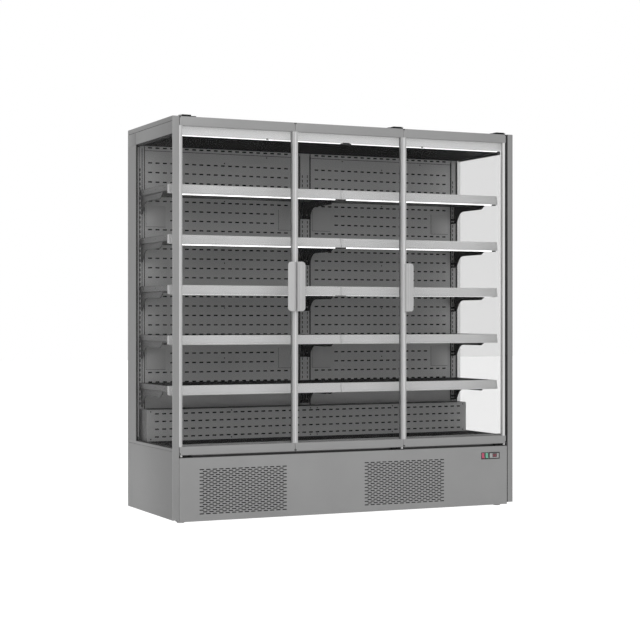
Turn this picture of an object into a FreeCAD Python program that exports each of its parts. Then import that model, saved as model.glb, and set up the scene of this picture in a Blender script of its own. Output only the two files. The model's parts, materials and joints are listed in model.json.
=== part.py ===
import FreeCAD, Part
import math
import os

V = FreeCAD.Vector

# Glass-door multideck display cabinet. Millimetres. While it is modelled, X runs to the right from
# the middle, Y runs back from the front plane of the doors and posts, and Z runs up from the floor.

# ---------------------------------------------------------------- overall
WIDTH = 1950.0
DEPTH = 700.0
HEIGHT = 2004.0
FLOOR_GAP = 15.0            # end walls stand this far off the floor
SIDE_T = 20.0               # thickness of an end wall and of its double glazing
SKIN_T = 1.0                # sheet that skins the insulated panels
SHEET_T = 1.5               # bent sheet of panels and shelves
HALF = WIDTH / 2
INNER = HALF - SIDE_T       # inside face of an end wall

# ---------------------------------------------------------------- levels
BASE_TOP = 321.0            # top of the unit compartment
FLOOR_T = 44.0              # insulated floor
DECK_LIFT = 6.0
ROOF_T = 82.0
LINER_DROP = 9.0            # ceiling liner hangs this far under the roof
FLOOR_TOP = BASE_TOP + FLOOR_T
DECK_TOP = FLOOR_TOP + DECK_LIFT
ROOF_UNDER = HEIGHT - ROOF_T
CEILING = ROOF_UNDER - LINER_DROP

# ---------------------------------------------------------------- front frame
POST_FACE = 35.0            # width of a front post seen from the front
POST_LIP = 5.0              # front lip of the post that covers the glass edge
POST_BEVEL = 11.0           # bevel along the post's outer front corner
JAMB_REACH = 17.0           # jamb stands in from the post behind the door
FRAME_Y = 30.0              # face that the door seals close on
FRAME_T = 14.0              # depth of jamb, header and sill
HEADER_H = 85.0
SILL_LIP = 19.0             # sill stands above the insulated floor

# ---------------------------------------------------------------- doors
DOOR_COUNT = 3
DOOR_GAP = 3.0
LEFT_GAP = 3.5
RIGHT_GAP = 9.0
DOOR_BOTTOM = 334.0
TOP_GAP = 1.0
DOOR_T = 22.0
STILE_W = 13.0
RAIL_H = 41.0
TOP_RAIL_H = 45.0
GLAZING_BITE = 8.0          # the frame holds this much of the glazing's edge
PANE_T = 4.0
SPACER_T = 10.0
SPACER_W = 12.0
SEAL_W = 10.0
SEAL_INSET = 3.0
SEAL_GAP = 0.7              # left between seal and frame so that the door can swing
DOOR_TOP = HEIGHT - TOP_GAP
DOOR_SPAN = WIDTH - 2 * POST_FACE - LEFT_GAP - RIGHT_GAP
DOOR_W = (DOOR_SPAN - (DOOR_COUNT - 1) * DOOR_GAP) / DOOR_COUNT
HINGED_LEFT = (True, False, False)
DOOR_NAMES = ("left", "middle", "right")

# pivots
PIVOT_IN = 8.0              # pivot axis from the door's hinge edge
PIVOT_BACK = 7.0            # pivot axis behind the front plane
PIVOT_R = 4.0
RUN_CLEAR = 0.05            # radial clearance of a running fit
PIN_IN = 20.0               # pin length inside the door rail
BORE_SPARE = 4.0
HINGE_H = 8.5
HINGE_L = 86.0
HINGE_START = 1.5           # block starts this far in from the door's hinge edge
HINGE_REACH = 60.0
BRACKET_T = 4.0
COLLAR_GAP = 0.3

# handles
HANDLE_W = 46.0
HANDLE_H = 252.0
HANDLE_Z = 1170.0
HANDLE_EDGE = 1.0           # handle starts this far in from the door's free edge
HANDLE_PROUD = 28.0
HANDLE_LIP = 14.0           # outer lip stands this far off the glass
HANDLE_T = 3.0
CROWN_RISE = 6.0            # height of the rounding from the web to the ridge
HANDLE_R = 20.0             # rounding of the two outer corners

# Origin: the middle of the footprint, on the floor.
FRONT_Y = (HANDLE_PROUD - DEPTH) / 2

# ---------------------------------------------------------------- end walls
REAR_POST_D = 133.0
END_HEADER_H = 63.0
CAP_H = 24.0
CAP_GROOVE = 2.0
GROOVE_IN = 2.0
SILL_STRIP_H = 19.0
GLASS_BOTTOM = 368.0
CAP_BOTTOM = HEIGHT - CAP_H
HEADER_BOTTOM = CAP_BOTTOM - CAP_GROOVE - END_HEADER_H
REAR_POST_Y = DEPTH - REAR_POST_D

# ---------------------------------------------------------------- back of the chamber
REAR_WALL_T = 57.0
DUCT_D = 65.0               # air duct between back panels and rear wall
REAR_WALL_Y = DEPTH - REAR_WALL_T
BACK_PANEL_Y = REAR_WALL_Y - DUCT_D
UPRIGHT_END_W = 28.0
UPRIGHT_MID_W = 54.0
HOOK_COLUMN_END = 13.0      # hook slots from the inside face of the end wall
HOOK_COLUMN_MID = 15.0      # hook slots either side of the middle
HOOK_SLOT_W = 5.0
HOOK_SLOT_H = 26.0
HOOK_SLOT_DROP = 90.0       # foot of a hook slot under its shelf
PERF_ROW_PITCH = 151.2
PERF_FIRST_DROP = 8.0
PERF_H = 6.0
PERF_L = 248.0
PERF_BRIDGE = 34.0
PERF_MARGIN = 24.0
PLENUM_D = 118.0
PLENUM_Y = BACK_PANEL_Y - PLENUM_D
PLENUM_TOP = 535.0

# ---------------------------------------------------------------- shelves
SHELF_COUNT = 5
SHELF_LOWEST = 671.0
SHELF_PITCH = 252.0
SHELF_FRONT = 115.0
SHELF_SIDE_GAP = 5.0
SHELF_MID_GAP = 4.0
RAIL_DEPTH = 32.0
PRICE_RAIL_H = 44.0
RAIL_LEAN = 9.0
RAIL_WALL = 2.0
DECK_FLANGE = 32.0
LAMP_H = 4.0
LAMP_D = 22.0
LAMP_DROP = 0.5
LAMP_IN = 30.0              # lamp stops this far from the ends of the rail
LAMP_CLIP_IN = 90.0
LAMP_CLIP_D = 10.0
SHELF_BRACKET_T = 4.0
BRACKET_NOSE_Y = 254.0
BRACKET_TIP_Y = 290.0
BRACKET_CURVE_Y = BACK_PANEL_Y - 110.0
BRACKET_NOSE_DROP = 38.0
BRACKET_TIP_DROP = 60.0
BRACKET_HEEL_DROP = 69.0
BRACKET_FOOT_DROP = 124.0
BRACKET_CURVE_H = 45.0
BRACKET_BEND_COUNT = 3      # chords of the rounded root
BRACKET_FOOT_D = 13.0

# ---------------------------------------------------------------- base panel and controls
PANEL_BOTTOM = 5.0
PANEL_RETURN = 20.0
GRILLE_W = 471.0
GRILLE_LEFT_IN = 142.0      # left grille from the left end, right grille from the right end
GRILLE_RIGHT_IN = 425.0
GRILLE_LEFTS = (-HALF + GRILLE_LEFT_IN, HALF - GRILLE_RIGHT_IN - GRILLE_W)
GRILLE_BOTTOM = 40.0
GRILLE_H = 223.0
GRILLE_ROW_PITCH = 34.0
GRILLE_COL_PITCH = 84.0
GRILLE_SLOT_L = 66.0
GRILLE_SLOT_H = 8.0
CONTROL_Z = 270.0
CONTROLS_IN = 117.0         # thermostat from the right end
SWITCH_PITCH = 23.0
THERMOSTAT_X = HALF - CONTROLS_IN
GREEN_X = THERMOSTAT_X - 2 * SWITCH_PITCH - 0.5
SWITCH_XS = (GREEN_X - SWITCH_PITCH, GREEN_X)
SWITCH_W = 21.0
SWITCH_H = 37.0
ROCKER_W = 14.0
ROCKER_H = 29.0
ROCKER_AXIS_Y = 9.0
ROCKER_TILT = 7.0           # swing to each side
ROCKER_PROUD = 3.0
ROCKER_SIDE_GAP = 0.5
ROCKER_END_GAP = 1.7        # lets the corners swing past the ends of the well
TRUNNION_R = 1.5
BEZEL_T = 1.5
THERMOSTAT_W = 68.0
THERMOSTAT_H = 37.0
THERMOSTAT_D = 55.0

# ---------------------------------------------------------------- base frame and unit
TUBE = 40.0
TUBE_WALL = 2.0
FRAME_BOTTOM = 20.0
FRONT_TUBE_Y = 50.0
REAR_TUBE_IN = 30.0         # rear tube from the cabinet's back
REAR_TUBE_Y = DEPTH - REAR_TUBE_IN - TUBE
FOOT_IN = 62.0
FOOT_R = 21.0
FOOT_H = 10.0
FOOT_HEX_R = 11.0
PAD_SIDE_COUNT = 20
UNIT_PLATE_IN = 95.0
UNIT_PLATE_X = (-HALF + UNIT_PLATE_IN, HALF - UNIT_PLATE_IN)
UNIT_PLATE_T = 2.0
UNIT_Z = FRAME_BOTTOM + TUBE + UNIT_PLATE_T
CONDENSER_W = 440.0
CONDENSER_LEFT = GRILLE_LEFTS[0] + 3.0
CONDENSER_X = (CONDENSER_LEFT, CONDENSER_LEFT + CONDENSER_W)
CONDENSER_Y = 100.0
CONDENSER_D = 66.0
CONDENSER_H = 220.0
CONDENSER_FIN_COUNT = 12
COIL_TUBE_R = 5.0
FIN_T = 2.0
END_PLATE_LIFT = 8.0      # fins stand this far inside the end plates' height
SHROUD_D = 40.0
CONDENSER_FAN_R = 98.0
FAN_TIP_GAP = 4.0
COMPRESSOR_IN = 785.0       # pot from the right end
COMPRESSOR_X = HALF - COMPRESSOR_IN
COMPRESSOR_Y = DEPTH / 2 - 10.0
COMPRESSOR_R = 80.0
COMPRESSOR_H = 170.0
COMPRESSOR_LIFT = 14.0
STUB_OUT = 50.0
STUB_H = 30.0
POT_PLATE_OUT = 20.0
POT_PLATE_HALF_D = 50.0
POT_PLATE_T = 3.0
TERMINAL_OUT = 26.0
TERMINAL_HALF_W = 28.0
TERMINAL_LOW = 50.0
TERMINAL_HIGH = 85.0
TRAY_W = 440.0
TRAY_IN = 135.0
TRAY_BACK_IN = 140.0
TRAY_RIGHT = HALF - TRAY_IN
TRAY_X = (TRAY_RIGHT - TRAY_W, TRAY_RIGHT)
TRAY_FRONT = 170.0
TRAY_Y = (TRAY_FRONT, DEPTH - TRAY_BACK_IN)
TRAY_H = 50.0

# ---------------------------------------------------------------- evaporator
EVAP_END_IN = 175.0         # coil stops this far from the cabinet's ends
EVAP_HALF_W = HALF - EVAP_END_IN
EVAP_D = 80.0
EVAP_Y = REAR_WALL_Y - EVAP_D - 7.0
EVAP_H = 150.0
EVAP_FIN_COUNT = 14
FAN_PLATE_Y = PLENUM_Y + 45.0
FAN_PLATE_T = 2.0
EVAP_FAN_IN = 350.0         # fan from the coil's end
EVAP_FAN_X = EVAP_HALF_W - EVAP_FAN_IN
EVAP_FAN_R = 70.0
FAN_SHAFT_R = 3.0
MOTOR_R = 28.0
MOTOR_L = 34.0
FAN_HUB_R = 22.0
FAN_HUB_L = 20.0
BLADE_COUNT = 5
BLADE_T = 2.0
BLADE_PITCH = 32.0
ARM_W = 10.0
ARM_T = 3.0

PIPE_R = 6.0
PIPE_BEND = 30.0
PIPE_PASS = 3.0             # gap left round the pipes in the floor
PIPE_UNDER = 34.0           # pipe runs lie this far under the insulated floor
RISER_OUT = 44.0
RISER_PITCH = 44.0
TUBE_SIDE_COUNT = 6
HUB_SIDE_COUNT = 12
MOUTH_SIDE_COUNT = 24
POT_SIDE_COUNT = 24
POT_CHAMFER = 32.0


# ================================================================ helpers
def box(x0, x1, y0, y1, z0, z1):
    return Part.makeBox(x1 - x0, y1 - y0, z1 - z0, V(x0, y0, z0))


def hollow(x0, x1, y0, y1, z0, z1, wall):
    """A closed box of sheet, empty inside."""
    core = box(x0 + wall, x1 - wall, y0 + wall, y1 - wall, z0 + wall, z1 - wall)
    return box(x0, x1, y0, y1, z0, z1).cut(core)


def face_of(points):
    return Part.Face(Part.makePolygon(points + [points[0]]))


def along_x(yz, x0, x1):
    """A profile drawn in the YZ plane, run along X."""
    return face_of([V(x0, y, z) for y, z in yz]).extrude(V(x1 - x0, 0, 0))


def along_y(xz, y0, y1):
    return face_of([V(x, y0, z) for x, z in xz]).extrude(V(0, y1 - y0, 0))


def along_z(xy, z0, z1):
    return face_of([V(x, y, z0) for x, y in xy]).extrude(V(0, 0, z1 - z0))


def rod(radius, start, end):
    axis = end - start
    return Part.makeCylinder(radius, axis.Length, start, axis)


def ring_points(radius, flats):
    turn = 2 * math.pi / flats
    return [(radius * math.cos(i * turn), radius * math.sin(i * turn)) for i in range(flats)]


def prism_z(radius, flats, base, length):
    points = [base + V(a, b, 0) for a, b in ring_points(radius, flats)]
    return face_of(points).extrude(V(0, 0, length))


def prism_y(radius, flats, base, length):
    points = [base + V(a, 0, b) for a, b in ring_points(radius, flats)]
    return face_of(points).extrude(V(0, length, 0))


def holed_sheet(x0, x1, y, z0, z1, holes, thick=SHEET_T):
    """An upright sheet whose front face is at y, with rectangular holes (x0, x1, z0, z1)."""
    def loop(a, b, c, d):
        corners = [V(a, y, c), V(b, y, c), V(b, y, d), V(a, y, d), V(a, y, c)]
        return Part.makePolygon(corners)
    wires = [loop(x0, x1, z0, z1)] + [loop(*hole) for hole in holes]
    face = Part.makeFace(Part.makeCompound(wires), "Part::FaceMakerBullseye")
    return face.extrude(V(0, thick, 0))


def mirrored(shape):
    return shape.mirror(V(0, 0, 0), V(1, 0, 0))


def turned(shape, centre, axis, degrees):
    copy = shape.copy()
    copy.rotate(centre, axis, degrees)
    return copy


def save(node, shapes):
    """One STEP file per sub-part, moved so that the origin is under the middle of the box."""
    if not isinstance(shapes, (list, tuple)):
        shapes = [shapes]
    solids = [solid for shape in shapes for solid in shape.Solids]
    out = solids[0] if len(solids) == 1 else Part.makeCompound(solids)
    out.translate(V(0, FRONT_Y, 0))
    out.exportStep("parts/" + node + ".step")


# ================================================================ end walls
def front_post():
    """Left front post: hollow extrusion with a lip over the glass edge and a jamb behind the door."""
    back = FRAME_Y + FRAME_T
    face = -HALF + POST_FACE
    outer = [(-HALF + POST_BEVEL, 0), (face, 0), (face, FRAME_Y), (face + JAMB_REACH, FRAME_Y),
             (face + JAMB_REACH, back), (-INNER, back), (-INNER, POST_LIP), (-HALF, POST_LIP)]
    wall = TUBE_WALL
    cavity = [(-INNER + wall, POST_LIP + wall), (face - wall, POST_LIP + wall),
              (face - wall, back - wall), (-INNER + wall, back - wall)]
    return along_z(outer, FLOOR_GAP, HEIGHT).cut(along_z(cavity, FLOOR_GAP, HEIGHT))


def end_header():
    """Left header band with the cap strip above its shadow groove."""
    xz = [(-HALF, HEADER_BOTTOM), (-INNER, HEADER_BOTTOM), (-INNER, HEIGHT), (-HALF, HEIGHT),
          (-HALF, CAP_BOTTOM), (-HALF + GROOVE_IN, CAP_BOTTOM),
          (-HALF + GROOVE_IN, CAP_BOTTOM - CAP_GROOVE), (-HALF, CAP_BOTTOM - CAP_GROOVE)]
    band = along_y(xz, POST_LIP, DEPTH)
    core = box(-HALF + GROOVE_IN + SKIN_T, -INNER - SKIN_T, POST_LIP + SKIN_T, DEPTH - SKIN_T,
               HEADER_BOTTOM + SKIN_T, HEIGHT - SKIN_T)
    return band.cut(core)


def lower_panel():
    """Left lower panel: hollow sheet box with the sill strip on top."""
    strip = GLASS_BOTTOM - SILL_STRIP_H
    panel_top = strip - CAP_GROOVE
    xz = [(-HALF, FLOOR_GAP), (-INNER, FLOOR_GAP), (-INNER, GLASS_BOTTOM), (-HALF, GLASS_BOTTOM),
          (-HALF, strip), (-HALF + GROOVE_IN, strip), (-HALF + GROOVE_IN, panel_top),
          (-HALF, panel_top)]
    core = box(-HALF + GROOVE_IN + SKIN_T, -INNER - SKIN_T, POST_LIP + SKIN_T, DEPTH - SKIN_T,
               FLOOR_GAP + SKIN_T, GLASS_BOTTOM - SKIN_T)
    return along_y(xz, POST_LIP, DEPTH).cut(core)


def rear_post():
    return hollow(-HALF, -INNER, REAR_POST_Y, DEPTH, GLASS_BOTTOM, HEADER_BOTTOM, SKIN_T)


def end_glass():
    """Left end glazing: two panes and the spacer between their edges."""
    y0, y1 = POST_LIP, REAR_POST_Y
    z0, z1 = GLASS_BOTTOM, HEADER_BOTTOM
    outer = box(-HALF, -HALF + PANE_T, y0, y1, z0, z1)
    inner = box(-INNER - PANE_T, -INNER, y0, y1, z0, z1)
    ring = box(-HALF + PANE_T, -INNER - PANE_T, y0, y1, z0, z1)
    ring = ring.cut(box(-HALF, -INNER, y0 + SPACER_W, y1 - SPACER_W, z0 + SPACER_W, z1 - SPACER_W))
    return [outer, inner, ring]


# ================================================================ insulated shell
def insulated_floor():
    """Floor tub with the front sill that the doors close on, and a pass for the two pipes."""
    reach = HALF - POST_FACE - JAMB_REACH
    back = FRAME_Y + FRAME_T
    slab = hollow(-INNER, INNER, back, REAR_WALL_Y, BASE_TOP, FLOOR_TOP, SKIN_T)
    lip = box(-reach, reach, FRAME_Y, back, BASE_TOP, FLOOR_TOP + SILL_LIP)
    floor = slab.fuse(lip).removeSplitter()
    (x, y0), (x, y1) = riser_places()
    half = PIPE_R + PIPE_PASS
    skin = box(x - half - SKIN_T, x + half + SKIN_T, y0 - half - SKIN_T, y1 + half + SKIN_T,
               BASE_TOP, FLOOR_TOP)
    return floor.fuse(skin).cut(box(x - half, x + half, y0 - half, y1 + half, BASE_TOP, FLOOR_TOP))


def rear_wall():
    return hollow(-INNER, INNER, REAR_WALL_Y, DEPTH, BASE_TOP, ROOF_UNDER, SKIN_T)


def roof():
    return hollow(-INNER, INNER, FRAME_Y + FRAME_T, DEPTH, ROOF_UNDER, HEIGHT, SKIN_T)


def header_profile():
    reach = HALF - POST_FACE - JAMB_REACH
    z0 = HEIGHT - HEADER_H
    return hollow(-reach, reach, FRAME_Y, FRAME_Y + FRAME_T, z0, HEIGHT, TUBE_WALL)


def canopy_light():
    """Light bar under the front edge of the roof: housing above, lens below."""
    y = FRAME_Y + FRAME_T
    length = INNER - UPRIGHT_END_W
    yz = [(y, ROOF_UNDER), (y, CEILING + 1), (y + 3, CEILING - 4), (y + 13, CEILING - 4),
          (y + 16, CEILING + 1), (y + 16, ROOF_UNDER)]
    return along_x(yz, -length, length)


def ceiling_liner():
    """Shallow tray under the roof; its front and rear edges turn up to the roof."""
    y0 = FRAME_Y + FRAME_T + 2 * POST_LIP + UPRIGHT_END_W / 2
    y1 = REAR_WALL_Y
    z0, z1 = CEILING, ROOF_UNDER
    yz = [(y0, z0), (y1, z0), (y1, z1), (y1 - SHEET_T, z1), (y1 - SHEET_T, z0 + SHEET_T),
          (y0 + SHEET_T, z0 + SHEET_T), (y0 + SHEET_T, z1), (y0, z1)]
    return along_x(yz, -INNER, INNER)


def deck():
    """Bottom deck: sheet on the insulated floor, turned down at both edges."""
    y0, y1 = FRAME_Y + FRAME_T, PLENUM_Y + PANEL_RETURN
    z0, z1 = FLOOR_TOP, DECK_TOP
    yz = [(y0, z0), (y0 + SHEET_T, z0), (y0 + SHEET_T, z1 - SHEET_T), (y1 - SHEET_T, z1 - SHEET_T),
          (y1 - SHEET_T, z0), (y1, z0), (y1, z1), (y0, z1)]
    return along_x(yz, -INNER + SHELF_SIDE_GAP, INNER - SHELF_SIDE_GAP)


# ================================================================ back of the chamber
def slot_row(x0, x1, z):
    """Long slots across a panel, with equal margins and a bridge between neighbours."""
    pitch = PERF_L + PERF_BRIDGE
    count = int((x1 - x0 - 2 * PERF_MARGIN + PERF_BRIDGE) // pitch)
    start = (x0 + x1) / 2 - (count * pitch - PERF_BRIDGE) / 2
    lefts = [start + i * pitch for i in range(count)]
    return [(left, left + PERF_L, z - PERF_H / 2, z + PERF_H / 2) for left in lefts]


def back_panel():
    """Right back panel, perforated in rows."""
    x0 = UPRIGHT_MID_W / 2
    x1 = INNER - UPRIGHT_END_W
    holes = []
    z = CEILING - PERF_FIRST_DROP
    while z > PLENUM_TOP + PERF_ROW_PITCH / 2:
        holes += slot_row(x0, x1, z)
        z -= PERF_ROW_PITCH
    return holed_sheet(x0, x1, BACK_PANEL_Y, PLENUM_TOP, CEILING, holes)


def plenum_panel():
    """Cover of the evaporator: perforated front, lid and two cheeks, riveted sheets."""
    x1 = INNER - SHELF_SIDE_GAP
    top = PLENUM_TOP
    holes = []
    rows = 2
    for row in range(rows):
        z = DECK_TOP + (top - DECK_TOP) * (row + 1) / (rows + 1)
        holes += slot_row(-x1, -PERF_MARGIN, z) + slot_row(PERF_MARGIN, x1, z)
    front = holed_sheet(-x1, x1, PLENUM_Y, DECK_TOP, top, holes)
    behind = PLENUM_Y + SHEET_T
    lid = box(-x1, x1, behind, BACK_PANEL_Y, top - SHEET_T, top)
    cheek = box(-x1, -x1 + SHEET_T, behind, BACK_PANEL_Y, DECK_TOP, top - SHEET_T)
    return [front, lid, cheek, mirrored(cheek)]


def upright(x0, x1, columns):
    """Channel that stands off the rear wall, with a column of hook slots at each given x."""
    holes = []
    for level in range(SHELF_COUNT):
        z = SHELF_LOWEST + level * SHELF_PITCH - HOOK_SLOT_DROP
        for x in columns:
            holes.append((x - HOOK_SLOT_W / 2, x + HOOK_SLOT_W / 2, z, z + HOOK_SLOT_H))
    web = holed_sheet(x0, x1, BACK_PANEL_Y, PLENUM_TOP, CEILING, holes)
    legs = [box(x, x + SHEET_T, BACK_PANEL_Y, REAR_WALL_Y, PLENUM_TOP, CEILING)
            for x in (x0, x1 - SHEET_T)]
    return web.fuse(legs).removeSplitter()


def shelf_uprights():
    end = upright(INNER - UPRIGHT_END_W, INNER, [INNER - HOOK_COLUMN_END])
    middle = upright(-UPRIGHT_MID_W / 2, UPRIGHT_MID_W / 2, [-HOOK_COLUMN_MID, HOOK_COLUMN_MID])
    return [mirrored(end), middle, end]


# ================================================================ shelves (right-hand module)
SHELF_X0 = SHELF_MID_GAP / 2
SHELF_X1 = INNER - SHELF_SIDE_GAP


def shelf_deck(top):
    """Tray with all four edges turned down, resting on its brackets."""
    y0, y1 = SHELF_FRONT + RAIL_DEPTH, BACK_PANEL_Y
    tray = box(SHELF_X0, SHELF_X1, y0, y1, top - DECK_FLANGE, top)
    inside = box(SHELF_X0 + SHEET_T, SHELF_X1 - SHEET_T, y0 + SHEET_T, y1, top - DECK_FLANGE,
                 top - SHEET_T)
    return tray.cut(inside)


def price_rail(top):
    """Hollow rail on the shelf's front edge; its face leans back towards the top."""
    y0, y1 = SHELF_FRONT, SHELF_FRONT + RAIL_DEPTH
    low = top - PRICE_RAIL_H
    wall = RAIL_WALL
    outer = [(y0, low), (y1, low), (y1, top), (y0 + RAIL_LEAN, top)]
    cavity = [(y0 + 1.3 * wall, low + wall), (y1 - wall, low + wall), (y1 - wall, top - wall),
              (y0 + RAIL_LEAN + wall, top - wall)]
    return along_x(outer, SHELF_X0, SHELF_X1).cut(along_x(cavity, SHELF_X0, SHELF_X1))


def shelf_light(top):
    """Light bar under the price rail, held by two clips."""
    z1 = top - PRICE_RAIL_H
    z0 = z1 - LAMP_DROP - LAMP_H
    y0 = SHELF_FRONT + (RAIL_DEPTH - LAMP_D) / 2
    y1 = y0 + LAMP_D
    side = (LAMP_D - LAMP_CLIP_D) / 2
    bar = box(SHELF_X0 + LAMP_IN, SHELF_X1 - LAMP_IN, y0, y1, z0, z1 - LAMP_DROP)
    clip = box(SHELF_X0 + LAMP_CLIP_IN, SHELF_X1 - LAMP_CLIP_IN, y0 + side, y1 - side,
               z1 - LAMP_DROP, z1)
    return bar.fuse(clip).removeSplitter()


def shelf_bracket(top, x):
    """Cantilever bracket: slanted nose, a belly that deepens, and a rounded root."""
    head = top - SHEET_T
    tip = top - BRACKET_TIP_DROP
    foot = top - BRACKET_FOOT_DROP
    root = BACK_PANEL_Y - BRACKET_FOOT_D
    bend_low = top - BRACKET_HEEL_DROP - BRACKET_CURVE_H
    bend = []
    for step in range(BRACKET_BEND_COUNT + 1):
        turn = math.pi / 2 * step / BRACKET_BEND_COUNT
        bend.append((BRACKET_CURVE_Y + (root - BRACKET_CURVE_Y) * math.cos(turn),
                     bend_low + BRACKET_CURVE_H * math.sin(turn)))
    yz = bend + [(BRACKET_TIP_Y, tip), (BRACKET_NOSE_Y, top - BRACKET_NOSE_DROP),
                 (BRACKET_NOSE_Y, head), (BACK_PANEL_Y, head), (BACK_PANEL_Y, foot)]
    plate = along_x(yz, x, x + SHELF_BRACKET_T)
    return plate


# ================================================================ doors
def door_span(index):
    x0 = -HALF + POST_FACE + LEFT_GAP + index * (DOOR_W + DOOR_GAP)
    return x0, x0 + DOOR_W


def pivot_x(index):
    x0, x1 = door_span(index)
    return x0 + PIVOT_IN if HINGED_LEFT[index] else x1 - PIVOT_IN


def door_frame(index):
    """Two rails across the full width and two stiles between them, grooved for the glazing."""
    x0, x1 = door_span(index)
    z0, z1 = DOOR_BOTTOM, DOOR_TOP
    parts = [box(x0, x1, 0, DOOR_T, z0, z0 + RAIL_H),
             box(x0, x1, 0, DOOR_T, z1 - TOP_RAIL_H, z1),
             box(x0, x0 + STILE_W, 0, DOOR_T, z0 + RAIL_H, z1 - TOP_RAIL_H),
             box(x1 - STILE_W, x1, 0, DOOR_T, z0 + RAIL_H, z1 - TOP_RAIL_H)]
    y0 = (DOOR_T - glazing_depth()) / 2
    bite = GLAZING_BITE
    groove = box(x0 + STILE_W - bite, x1 - STILE_W + bite, y0, y0 + glazing_depth(),
                 z0 + RAIL_H - bite, z1 - TOP_RAIL_H + bite)
    depth = PIN_IN + BORE_SPARE
    x = pivot_x(index)
    bore_r = PIVOT_R + RUN_CLEAR
    bores = [Part.makeCylinder(bore_r, depth, V(x, PIVOT_BACK, z0)),
             Part.makeCylinder(bore_r, depth, V(x, PIVOT_BACK, z1 - depth))]
    return [part.cut([groove] + bores) for part in parts]


def glazing_depth():
    return 2 * PANE_T + SPACER_T


def door_glass(index):
    """Sealed double glazing: two panes and the spacer between their edges."""
    x0, x1 = door_span(index)
    bite = GLAZING_BITE
    x0, x1 = x0 + STILE_W - bite, x1 - STILE_W + bite
    z0, z1 = DOOR_BOTTOM + RAIL_H - bite, DOOR_TOP - TOP_RAIL_H + bite
    y0 = (DOOR_T - glazing_depth()) / 2
    y1 = y0 + PANE_T
    y2 = y1 + SPACER_T
    ring = box(x0, x1, y1, y2, z0, z1)
    ring = ring.cut(box(x0 + SPACER_W, x1 - SPACER_W, y1, y2, z0 + SPACER_W, z1 - SPACER_W))
    return [box(x0, x1, y0, y1, z0, z1), box(x0, x1, y2, y2 + PANE_T, z0, z1), ring]


def door_seal(index):
    """Seal on the back of the frame; it stops just short of the face it closes on."""
    x0, x1 = door_span(index)
    x0, x1 = x0 + SEAL_INSET, x1 - SEAL_INSET
    z0, z1 = DOOR_BOTTOM + SEAL_INSET, DOOR_TOP - SEAL_INSET
    y0, y1 = DOOR_T, FRAME_Y - SEAL_GAP
    ring = box(x0, x1, y0, y1, z0, z1)
    return ring.cut(box(x0 + SEAL_W, x1 - SEAL_W, y0, y1, z0 + SEAL_W, z1 - SEAL_W))


def door_handle(index):
    """Extruded pull: foot on the stile, rounded ridge, and a lip off the glass for the fingers."""
    x0, x1 = door_span(index)
    hinged_left = HINGED_LEFT[index]
    edge = x1 - HANDLE_EDGE if hinged_left else x0 + HANDLE_EDGE
    way = -1 if hinged_left else 1
    z0 = HANDLE_Z - HANDLE_H / 2
    z1 = HANDLE_Z + HANDLE_H / 2
    foot = STILE_W - HANDLE_EDGE
    crest = foot + HANDLE_T + 4

    def at(u, proud):
        return V(edge + way * u, -proud, z0)

    wall = HANDLE_T
    top = HANDLE_PROUD
    lip = HANDLE_LIP
    rise = CROWN_RISE
    run = crest + 1 - (foot - wall)
    bend = (run ** 2 + rise ** 2) / (2 * rise)
    lean = (math.pi - math.asin((bend - rise) / bend) + math.pi / 2) / 2
    crown_mid = at(crest + 1 + bend * math.cos(lean), top - bend + bend * math.sin(lean))
    crown = Part.Arc(at(foot - wall, top - rise), crown_mid, at(crest + 1, top)).toShape()
    slope = Part.Arc(at(crest + 1, top), at((crest + HANDLE_W) / 2, (top + lip + wall) / 2 + 1.5),
                     at(HANDLE_W - 1, lip + wall)).toShape()
    bead = Part.Arc(at(HANDLE_W - 1, lip + wall), at(HANDLE_W, lip + wall / 2),
                    at(HANDLE_W - 1, lip)).toShape()
    under = Part.Arc(at(HANDLE_W - 1, lip), at((crest + HANDLE_W) / 2, (top + lip - wall) / 2 + 1.5),
                     at(crest + 1, top - wall)).toShape()
    corners = [at(crest + 1, top - wall), at(foot, top - rise - wall), at(foot, 0), at(0, 0),
               at(0, wall), at(foot - wall, wall), at(foot - wall, top - rise)]
    sides = [Part.makeLine(a, b) for a, b in zip(corners, corners[1:])]
    profile = Part.Face(Part.Wire([crown, slope, bead, under] + sides))
    bar = profile.extrude(V(0, 0, HANDLE_H))
    return round_outer_corners(bar, edge, way, z0, z1)


def round_outer_corners(bar, edge, way, z0, z1):
    """Trim the pull to an outline whose two corners away from the door edge are rounded."""
    u1 = HANDLE_W + 1
    r = HANDLE_R
    y = 1.0
    quarter = r * (1 - math.sqrt(0.5))

    def at(u, z):
        return V(edge + way * u, y, z)

    low = Part.Arc(at(u1 - r, z0), at(u1 - quarter, z0 + quarter), at(u1, z0 + r)).toShape()
    high = Part.Arc(at(u1, z1 - r), at(u1 - quarter, z1 - quarter), at(u1 - r, z1)).toShape()
    lines = [Part.makeLine(at(-1, z0), at(u1 - r, z0)),
             Part.makeLine(at(u1, z0 + r), at(u1, z1 - r)),
             Part.makeLine(at(u1 - r, z1), at(-1, z1)),
             Part.makeLine(at(-1, z1), at(-1, z0))]
    outline = Part.Wire([lines[0], low, lines[1], high, lines[2], lines[3]])
    blank = Part.Face(outline).extrude(V(0, -HANDLE_PROUD - 2, 0))
    return bar.common(blank)


def top_hinge(index):
    """Low block screwed to the header and roof, with the pin that drops into the top rail."""
    x0, x1 = door_span(index)
    left = HINGED_LEFT[index]
    start = x0 + HINGE_START if left else x1 - HINGE_START
    way = 1 if left else -1
    xy = [(start, 1), (start + way * HINGE_L, 1), (start + way * HINGE_L, FRAME_Y),
          (start + way * HINGE_L * 0.7, HINGE_REACH), (start, HINGE_REACH)]
    block = along_z(xy, HEIGHT, HEIGHT + HINGE_H)
    pin_low = DOOR_TOP - PIN_IN
    pin = Part.makeCylinder(PIVOT_R, HEIGHT - pin_low, V(pivot_x(index), PIVOT_BACK, pin_low))
    return block.fuse(pin)


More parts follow.
